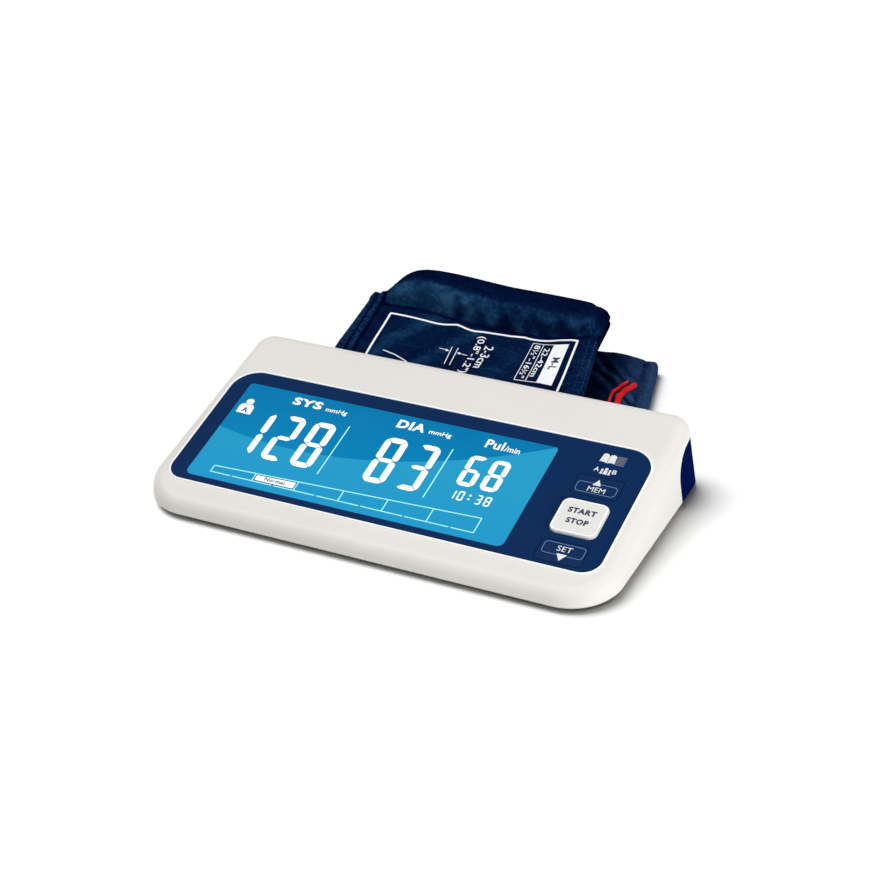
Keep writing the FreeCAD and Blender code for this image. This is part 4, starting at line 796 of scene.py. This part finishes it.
def packFolds(rings):  # small folds along the surface's own way out, on the roll's front and low on the walls
    outward = np.cross(np.roll(rings, -1, axis=1) - np.roll(rings, 1, axis=1), np.gradient(rings, axis=0))
    outward /= np.maximum(np.linalg.norm(outward, axis=2, keepdims=True), 1e-9)
    outward *= np.sign((outward * (rings - rings.mean(1, keepdims=True))).sum(2).mean())
    x, y, z = axes(rings)
    rollFront = ease(y, 9, 13) * (1 - ease(y, 17, 22)) * ease(z, 22, 26)
    lowWall = (1 - ease(z, 17, 23)) * ease(z, 12.0, 14.0)
    folds = rollFront * (0.26 * ripples(x * 0.4, z * 1.6, 11, 12.0) + 0.15 * ripples(x * 0.7, z, 12, 6.0))
    return outward * (folds + 0.4 * lowWall * ripples(x, z, 13, 9.0))[:, :, None]


rings = packSurface(190, 230)
rings = rings + packFolds(rings)

# the cloth's tones: a base, a painted highlight band, painted shade in the valley, painted light and shade on
# the wrinkles, painted gleams and painted shade in the grooves
packLook = {
    "base": 0.43, "band": 0.4, "valley": (-1.6, 2.0, 0.26), "wrinkleLightAndShade": (0.5, 2.8, 0.3), "gleam": 0.27,
    "gleams": ((-25.4, 4.5, 1.0), (-3.4, 3.5, 0.8), (26.0, 6.0, 0.4)),  # painted slanting highlights: place, width, strength
    "grooves": ((-63.2, 0.75, 0.6), (-58.8, 0.8, 0.6)),  # painted shade in the grooves between the ridges: place, width, depth
}


def packTone(x, y):
    # how light the cloth is painted, 0 to 1: a painted highlight band with a ragged lower side along the
    # roll's front, painted shade in the valley with painted light and shade on its wrinkles, painted slanting
    # highlights on the leaf, painted shade in the grooves between the puckered edge's ridges
    seam = seamAt(x)
    ragged = 0.9 * ripples(x, 0 * x, 81, 16.0)
    fadeOut = seam + 0.6 * ragged
    # painted highlight: a pale sheen band along the roll's front
    band = ease(y, seam - 1.0 + ragged, seam + 0.1 + ragged) * (1 - ease(y, fadeOut + 4.6, fadeOut + 6.2))
    band = band * (0.45 + 0.55 * (1 - ease(x, -24, 10))) * ease(x, -59, -56) * (1 - ease(x, 52.8, 54.0))
    streaks = 0.08 * ripples(x * 0.5, y * 2.0, 82, 7.0)
    # painted shade along the stitched valley
    valley = bells(y - seam, packLook["valley"]) * ease(x, -60, -57)
    # painted light and shade on the valley's wrinkles
    wrinkleLightAndShade = bells(y - seam, packLook["wrinkleLightAndShade"]) * ripples(x * 1.6, y * 2.6, 71, 10.0) * ease(x, -36, -20)
    tone = packLook["base"] + (packLook["band"] + streaks) * band - valley + wrinkleLightAndShade
    # painted highlights: slanting gleams on the leaf
    gleam = packLook["gleam"] * bells(0.81 * x - 0.58 * y, *packLook["gleams"])
    tone = tone + gleam * (1 - ease(y, seam - 4, seam - 1)) * ease(x, -52, -48) * (1 - ease(x, 20, 40))
    # painted shade in the grooves between the ridges and painted highlights on the gathers; the piping itself
    # is lighter
    piping = ease(-x, 58.8, 60.2)
    puckerGlints = ease(-x, 58.5, 59.5) * puckers(y) + 0.7 * ease(x, 53, 54) * np.sin(y * 2.1 + 2 * np.sin(y * 0.9))
    tone = tone - bells(x, *packLook["grooves"]) + (0.24 + 0.11 * puckerGlints) * piping
    tone = tone + 0.09 * puckerGlints * (1 - piping) * (1 - ease(y, seam, seam + 3))
    # painted shade: the roll's top, facing away from the light, darker
    tone = tone - 0.13 * ease(y, seam + 5.5, seam + 9) * (1 - piping)
    # painted shade on the roll's right end face; the rise from x 49 mm to 51 mm makes the right part lighter
    return np.clip(tone + 0.08 * ease(x, 49, 51) - 0.2 * ease(x, 53.2, 54.2) * ease(y, seam, seam + 2), 0, 1)


def perPoint(tone):  # a loft's tones in the order of its points, the two end fans' middles last
    return np.concatenate([tone.ravel(), [tone[0].mean(), tone[-1].mean()]])


def nylon(name, tones):
    # coated nylon: the piece's tone attribute, which holds painted highlights and painted shade, under a slow
    # mottle, and a weave as two crossing sets of threads
    made = Finish(name, Specular_IOR_Level=0.0, Roughness=0.7)
    flat = made.place((weaveThreads,) * 3, source="UV")
    sets = []
    for direction in ("X", "Y"):
        wave = made.add("TexWave", Scale=1.0, Distortion=0.6, Vector=flat)
        wave.bands_direction = direction
        sets.append(wave.outputs["Fac"])
    cloth = made.maths("MAXIMUM", *sets)
    tone = made.add("Attribute")
    tone.attribute_name = "tone"
    clouds = made.noise(70.0, 6.0, 0.65, made.place((1, 1.8, 1.4)))
    grain = made.noise(520.0, 3.0, 0.7)
    level = made.maths("ADD", tone.outputs["Fac"], made.span(clouds, 0.3, 0.7, -0.12, 0.12))
    level = made.maths("ADD", level, made.span(grain, 0.3, 0.7, -0.15, 0.15))
    dyeAndPaintedLight = made.ramp(level, *[(place, paint(*colour)) for place, colour in tones.items()])
    made.put("Base Color", made.mix(made.span(cloth, 0.0, 1.0, 0.22, 0.0), dyeAndPaintedLight, paint(*tones[0.0])))
    height = made.maths("ADD", made.maths("MULTIPLY", clouds, 5.0), made.maths("MULTIPLY", cloth, 0.35))
    made.relief(made.maths("ADD", height, made.maths("MULTIPLY", grain, 0.8)), 0.7, 0.35)
    return made


weaveThreads = 520.0  # to the metre
# tone ramps: the low end is painted shade, the high end painted highlight
cuffTones = {0.0: (1, 7, 34), 0.25: (3, 15, 50), 0.5: (8, 31, 68), 0.8: (24, 62, 100), 1.0: (44, 86, 124)}
strapTones = {0.0: (1, 5, 28), 0.3: (4, 13, 44), 0.6: (16, 36, 70), 1.0: (44, 70, 110)}
cuffNylon = nylon("cuffNylon", cuffTones)
strapNylon = nylon("strapNylon", strapTones)
packShade = perPoint(packTone(rings[:, :, 0], rings[:, :, 1]))
rings = cuffPlace(rings)
cuffPack = build("cuffPack", *skin(rings), cuffNylon, "cloth", "cuff", True, weaveMap(rings), packShade)
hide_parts("cuff_body")
print("cuff pack done")

strap = {
    "left": -42.0, "right": 83.8, "near": -30.4, "far": 25.6, "foot": 0.3, "turn": 9.0, "thick": 12.4,
    "end": 6.9, "round": 2.0, "inset": 1.6, "powers": (0.16, 0.4, 0.3), "creaseDeep": 0.35,
    "creaseLightAndShade": 0.308, "hemRise": 0.4, "grooves": ((77.6, 0.0), (80.2, 0.02)),  # place and lean
}


def strapPlace(points):  # strap coordinates in mm to cuff coordinates
    x, y, z = axes(points)
    return np.stack([*swung(x, y, strap["turn"]), z], -1)


def strapCrease(x, y, reach):  # creases that run down towards the tab
    slant = (x - 66) * 0.8 + (y + 6) * 0.6
    waves = np.sin(slant * 0.9 + 0.6 * np.sin(y * 0.3))
    return waves * bells(slant, (0.0, reach, 1.0)) * (1 - ease(x, 76, 79))


def hemGrooves(x, y, *sizes):  # two stitched grooves along the strap's end, each with a width and a depth
    return sum(bells(x - lean * y, (at, *size)) for (at, lean), size in zip(strap["grooves"], sizes))


def strapTop(x, y):
    # the strap's upper side: level under the pack, thinner at its end, with slack folds and a stitched hem
    z = strap["thick"] - (strap["thick"] - strap["end"]) * ease(x, 60, 88)
    z = z + 0.3 * ripples(x, y * 0.6, 23, 30.0) * ease(x, 50, 62) * (1 - ease(x, 74, 79))
    z = z + strap["creaseDeep"] * strapCrease(x, y, 9.0) + strap["hemRise"] * ease(x, 78.2, 79.4)
    return z - hemGrooves(x, y, (0.7, 0.5), (0.6, 0.4))


def strapSurface(along, around):
    # the same kind of loft as the pack: a flat-bottomed superellipse carried along x, with rounded ends
    closer = np.array([0.0, 0.005, 0.014, 0.028])
    part = np.concatenate([closer, np.linspace(0.05, 0.95, along - 8), 1 - closer[::-1]])
    rings = []
    for place in strap["left"] + part * (strap["right"] - strap["left"]):
        near = min(place - strap["left"], strap["right"] - place)
        shrink = strap["inset"] * (1 - dome(near / strap["round"]))
        y = acrossLoft(strap["near"], strap["far"], shrink, strap["powers"][0])
        x = np.full_like(y, place)
        top, low = strapTop(x, y) - shrink, strap["foot"] + shrink * 0.6
        rings.append(evenLoop(x, y, heightLoft((top + low) / 2, top, low, *strap["powers"][1:]), around))
    return np.array(rings)


def strapTone(x, y):  # painted shade darker towards the pack, painted light and shade along the creases, a paler hem
    # painted shade under the pack's side, and painted light and shade on the creases
    tone = 0.46 + 0.34 * ease(x, 60, 74) + strap["creaseLightAndShade"] * strapCrease(x, y, 10.0)
    # painted shade in the hem's stitched grooves, and a paler hem
    tone = tone - hemGrooves(x, y, (0.6, 0.2), (0.5, 0.2)) + 0.1 * ease(x, 78.4, 79.2)
    return np.clip(tone + 0.08 * ripples(x, y, 92, 18.0), 0, 1)


rings = strapSurface(150, 120)
strapShade = perPoint(strapTone(rings[:, :, 0], rings[:, :, 1]))
rings = cuffPlace(strapPlace(rings))
cuffStrap = build("cuffStrap", *skin(rings), strapNylon, "cloth", "cuff", True, weaveMap(rings), strapShade)
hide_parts("cuff_strap")
print("strap done")


def onLeaf(points):  # (x, y, proud) in mm in cuff coordinates, laid on the leaf
    x, y, lift = axes(points)
    flat = x - edgeShift(x, y)  # where the leaf was before its edge was drawn out
    return cuffPlace(np.stack([x, y, packTop(flat, y) + lift], -1))


def onStrap(points):  # the same in strap coordinates, laid on the strap
    x, y, lift = axes(points)
    return cuffPlace(strapPlace(np.stack([x, y, strapTop(x, y) + lift], -1)))


def onCloth(name, surface, part, finish):
    points, faces = part
    build(name, surface(points), faces, finish, "cloth", "cuff")


film, letterFilm = (-0.15, 0.12), (-0.15, 0.14)  # a print's lower and upper side, mm from the cloth


def ribbon(width, path, step=0.8):
    # a printed line: a thin box section carried along straight runs, cut short enough to follow the cloth
    path = np.asarray(path, float)
    length = lengths(path)
    cuts = np.linspace(0, length[-1], max(2, int(length[-1] / step)))
    line = walk(path, np.unique(np.concatenate([cuts, length])))
    side = aside(np.gradient(line, axis=0)) * width / 2
    return skin(boxSections(line - side, line + side, *film))


def patch(spots, steps=(8, 26)):
    # a filled quadrilateral: a grid between four corners, given a thickness
    a, b, c, d = np.array(spots, float)
    s, t = np.meshgrid(np.linspace(0, 1, steps[0]), np.linspace(0, 1, steps[1]), indexing="ij")
    s, t = s[..., None], t[..., None]
    grid = a * (1 - s) * (1 - t) + b * s * (1 - t) + c * s * t + d * (1 - s) * t
    lower, upper = (np.concatenate([grid, np.full(s.shape, level)], -1) for level in film)
    return skin(np.concatenate([lower, upper[:, ::-1]], 1))


sizeFrame = [  # each line's width, and the places it runs through
    (1.05, [
        (-51.2, -34.0), (-51.0, 3.0), (-40, 2.4), (-29.3, 1.8), (-25.4, 1.7), (-21.7, 2.0), (-15, 2.7),
        (-10.4, 1.9), (-5.9, 1.6), (-1, 2.0), (5.8, 1.9), (13.3, 1.8), (20.5, 2.5), (24.3, 1.9), (28.6, 1.9),
        (38.7, 2.9), (44.8, 2.7), (48.3, 2.4), (49.4, -16.0), (50.3, -35.0),
    ]),
    (0.3, [(37.4, -0.7), (26.5, -0.7), (26.9, -30.4), (38.3, -30.6)]), (0.3, [(32.0, -0.8), (32.7, -30.3)]),
]
sizeBlock = [(37.3, -0.8), (44.9, -0.6), (46.3, -31.4), (38.3, -30.6)]
gauge = [
    (0.34, [(-11.3, -13.7), (-10.4, -27.0)]), (0.34, [(-8.3, -13.3), (-7.6, -27.1)]),
    (0.3, [(-17.1, -16.3), (-12.6, -16.9)]), (0.3, [(-6.4, -17.1), (-2.0, -17.5)]),
    (0.5, [(-43.9, -24.4), (-37.1, -26.2), (-31.0, -29.0), (-27.0, -31.4)]),
]
arrowTips = [
    [(-13.4, -16.1), (-11.7, -17.0), (-11.7, -17.0), (-13.3, -17.8)],
    [(-6.0, -16.2), (-7.6, -17.0), (-7.6, -17.0), (-6.0, -18.0)],
]
clothWords = [  # text, left, right, low, high: they read down the cuff, from the roll towards the housing
    ("2-3cm", 4.1, 8.6, -26.0, -8.0), ("(0.8\"-1.2\")", -2.3, 2.6, -31.6, -1.6),
    ("22-42cm", 33.4, 36.3, -26.4, -3.8), ("8½\"-16½\"", 27.9, 31.0, -28.4, -2.0),
]
marks = [ribbon(*line) for line in sizeFrame] + [patch(sizeBlock)] + [ribbon(*line) for line in gauge]
marks += [patch(tip, (3, 3)) for tip in arrowTips]
marks += [word(*entry, 0.0, letterFilm, 3) for entry in clothWords]
sizeLetters = word("M-L", 40.2, 44.0, -19.8, -11.0, 0.02, (0.05, 0.2), 3)
onCloth("cuffPrint", onLeaf, gather(*marks), markFinish("clothInk", (244, 246, 248), 0.15, 0.55))
onCloth("cuffSizeWord", onLeaf, sizeLetters, markFinish("clothDark", (22, 36, 74), 0.0, 0.55))

stitch = {"first": 0.4, "pitch": 2.6, "length": 1.7, "radius": 0.19, "lift": 0.12}


def stitches(*row):
    # thread: a six-sided spindle per stitch, its ring size a sine along it, repeated down the row
    path = np.asarray(row, float)
    along = np.linspace(0, 1, 5)
    thick = stitch["radius"] * np.sqrt(np.clip(np.sin(along * math.pi), 0.08, 1))
    starts = np.arange(stitch["first"], lengths(path)[-1] - stitch["length"], stitch["pitch"])
    lines = [walk(path, start + along * stitch["length"]) for start in starts]
    return gather(*[bead(line, aside(line[-1] - line[0]), thick, stitch["lift"], 6) for line in lines])


thread = markFinish("thread", (28, 50, 92), 0.0, 0.6)
packRows = [((54.0, 5.0), (56.0, -14.0), (58.0, -35.0)), ((57.4, 3.0), (59.4, -16.0), (61.8, -35.0))]
onCloth("packStitches", onLeaf, gather(*[stitches(*row) for row in packRows]), thread)
onCloth("strapStitches", onStrap, stitches((79.6, -28), (80.6, 24.0)), thread)

tab = {  # of each strand: start, foot, lean, half width and lift
    "strands": ((-2.6, 66.7, 5.7, 0.65, 0.7), (-3.4, 70.5, 5.6, 1.4, 0.75)),
    "end": -30.4, "thick": 0.6, "wave": 0.25,
}


def tabRibbon():
    # the red pull tab: a narrow woven band in two strands, each a rounded flat section carried along a curve
    red = Finish("redRibbon", Roughness=0.5, Specular_IOR_Level=0.1)
    weave = red.noise(900.0, 2.0, 0.6, red.place((0.4, 2.2, 1)))
    red.put("Base Color", red.ramp(weave, (0.35, paint(158, 8, 16)), (0.6, paint(222, 18, 24))))
    red.relief(weave, 0.6, 0.15)
    t = np.linspace(0, 1, 44)
    turn = np.linspace(0, 2 * math.pi, 20, endpoint=False)
    girth = np.sqrt(np.clip(1 - (2 * t - 1) ** 16, 0.02, 1))[:, None]
    parts = []
    for start, foot, lean, half, lift in tab["strands"]:
        y = start + (tab["end"] - start) * t
        x = (foot + lean * (1 - ease(-y, 2.4, 20.5)))[:, None] + half * girth * swell(np.cos(turn), 0.5)
        z = lift + tab["thick"] * girth * swell(np.sin(turn), 0.7) + tab["wave"] * np.sin(t * 7)[:, None]
        parts.append(skin(np.stack([x, y[:, None] + 0 * x, z], -1)))
    points, faces = gather(*parts)
    piece = build("pullTab", onStrap(points), faces, red, "tab", "cuff", True)
    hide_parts("cuff_pull_tab")


tabRibbon()
print("cuff done")


rim = {"rear": 13.0, "front": 9.0, "out": 0.25, "bead": 0.42, "lift": 0.12}  # corner radii, then the bead


def fasciaRim():
    # a thin moulded bead: a small circle carried round the fascia's outline, a rounded rectangle on the
    # slope.
    # Its near-white colour and faint glow are a painted highlight of the fascia's edge
    path, out = roundedPath(*faceBox("fascia_panel")[:4], (rim["rear"],) * 2 + (rim["front"],) * 2, 14)
    points, faces = bead(path + out * rim["out"], out, rim["bead"], rim["lift"], 10, wrap=True)
    # painted highlight: near-white with a faint glow
    rimPaintedHighlight = moulded("fasciaRimPaintedHighlight", (250, 250, 251), 0.25, 900.0, 0.005, 0.01)
    rimPaintedHighlight.glow((1, 1, 1, 1), 0.12)
    build("fasciaRim", onFace(points), faces, rimPaintedHighlight, "shell", "housing", True)


def fasciaCorners():  # the film's front corners run out past the panel's own rounder ones
    quarter = np.radians(np.linspace(0, 90, 10))
    radii = ((rim["rear"], quarter), (rim["front"], quarter[::-1]))
    arcs = [radius * np.column_stack([1 - np.cos(turn), 1 - np.sin(turn)]) for radius, turn in radii]
    left, right = faceBox("fascia_panel")[:2]
    crescents = [np.vstack(arcs) * (side, 1) + (edge, 0) for side, edge in ((1, left), (-1, right))]
    onFascia("fasciaCorners", slab(crescents, -0.4, 0.03), finishes["fascia"])


fasciaRim()
fasciaCorners()

stageLook = {"floor": 0.98, "bounce": 0.72, "sky": 0.18}  # the floor as seen and as a light, the world


def grey(value):
    return (value, value, value, 1.0)


def floorFinish():  # plain matt white to the camera, a little darker in the light it throws back at the part
    made = Finish("whiteFloor", Roughness=0.9, Specular_IOR_Level=0.0)
    made.put("Base Color", made.mix(made.cameraShare(), grey(stageLook["bounce"]), grey(stageLook["floor"])))
    return made


floorMesh = bpy.data.meshes.new("floor")
floorMesh.from_pydata([(-4, -4, 0), (4, -4, 0), (4, 4, 0), (-4, 4, 0)], [], [(0, 1, 2, 3)])
floorMesh.materials.append(floorFinish().material)
floor = bpy.data.objects.new("floor", floorMesh)
scene.collection.objects.link(floor)

world = bpy.data.worlds.new("studio")
scene.world = world
world.use_nodes = True
sky, studio = world.node_tree.nodes["Background"], Nodes(world.node_tree)
studio.plug((1, 1, 1, 1), sky.inputs["Color"])
studio.plug(studio.span(studio.cameraShare(), 0.0, 1.0, stageLook["sky"], 1.0), sky.inputs["Strength"])


def lamp(name, place, power, size=None):  # aimed at the origin: a soft sun, or a disc where a size is given
    light = bpy.data.lights.new(name, "AREA" if size else "SUN")
    light.energy = power
    if size:
        light.shape = "DISK"
        light.size = size
    holder = bpy.data.objects.new(name, light)
    scene.collection.objects.link(holder)
    holder.rotation_euler = Vector(place).to_track_quat("Z", "Y").to_euler()
    holder.location = place
    return holder


keyLamp = lamp("keyLamp", (-0.42, 0.06, 0.9), 2.1)
sideLamp = lamp("sideLamp", (1.25, -0.5, 0.2), 14.0, 0.7)
floorLamp = lamp("floorLamp", (-0.5, 0.08, 0.9), 1.1)
keyLamp.data.angle, floorLamp.data.angle = math.radians(38), math.radians(58)
floorLinks = ((sideLamp, "unlitBySideLamp", "EXCLUDE"), (floorLamp, "litByFloorLamp", "INCLUDE"))
for source, name, state in floorLinks:  # the side lamp passes over the floor, the floor lamp lights only it
    group = bpy.data.collections.new(name)
    group.objects.link(floor)
    group.collection_objects[0].light_linking.link_state = state
    source.light_linking.receiver_collection = group

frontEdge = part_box("top_cover")[0][1]  # the housing's front foot
view = {
    "at": (0.3708, frontEdge - 0.6132, 0.4893), "lens": 81.86,
    "right": (0.894, 0.4457, -0.0479), "down": (0.1917, -0.4768, -0.8579),
}
cameraData = bpy.data.cameras.new("camera")
cameraData.sensor_fit = "HORIZONTAL"
cameraData.sensor_width = 36.0
cameraData.lens = view["lens"]
camera = bpy.data.objects.new("camera", cameraData)
scene.collection.objects.link(camera)
right, upward = unit(np.array(view["right"])), -np.array(view["down"])
upward = unit(upward - right * (upward @ right))
turned = np.eye(4)
turned[:3] = np.column_stack([right, upward, np.cross(right, upward), view["at"]])
camera.matrix_world = Matrix(turned.tolist())
scene.camera = camera
scene.view_settings.view_transform = "Standard"
print("stage done")
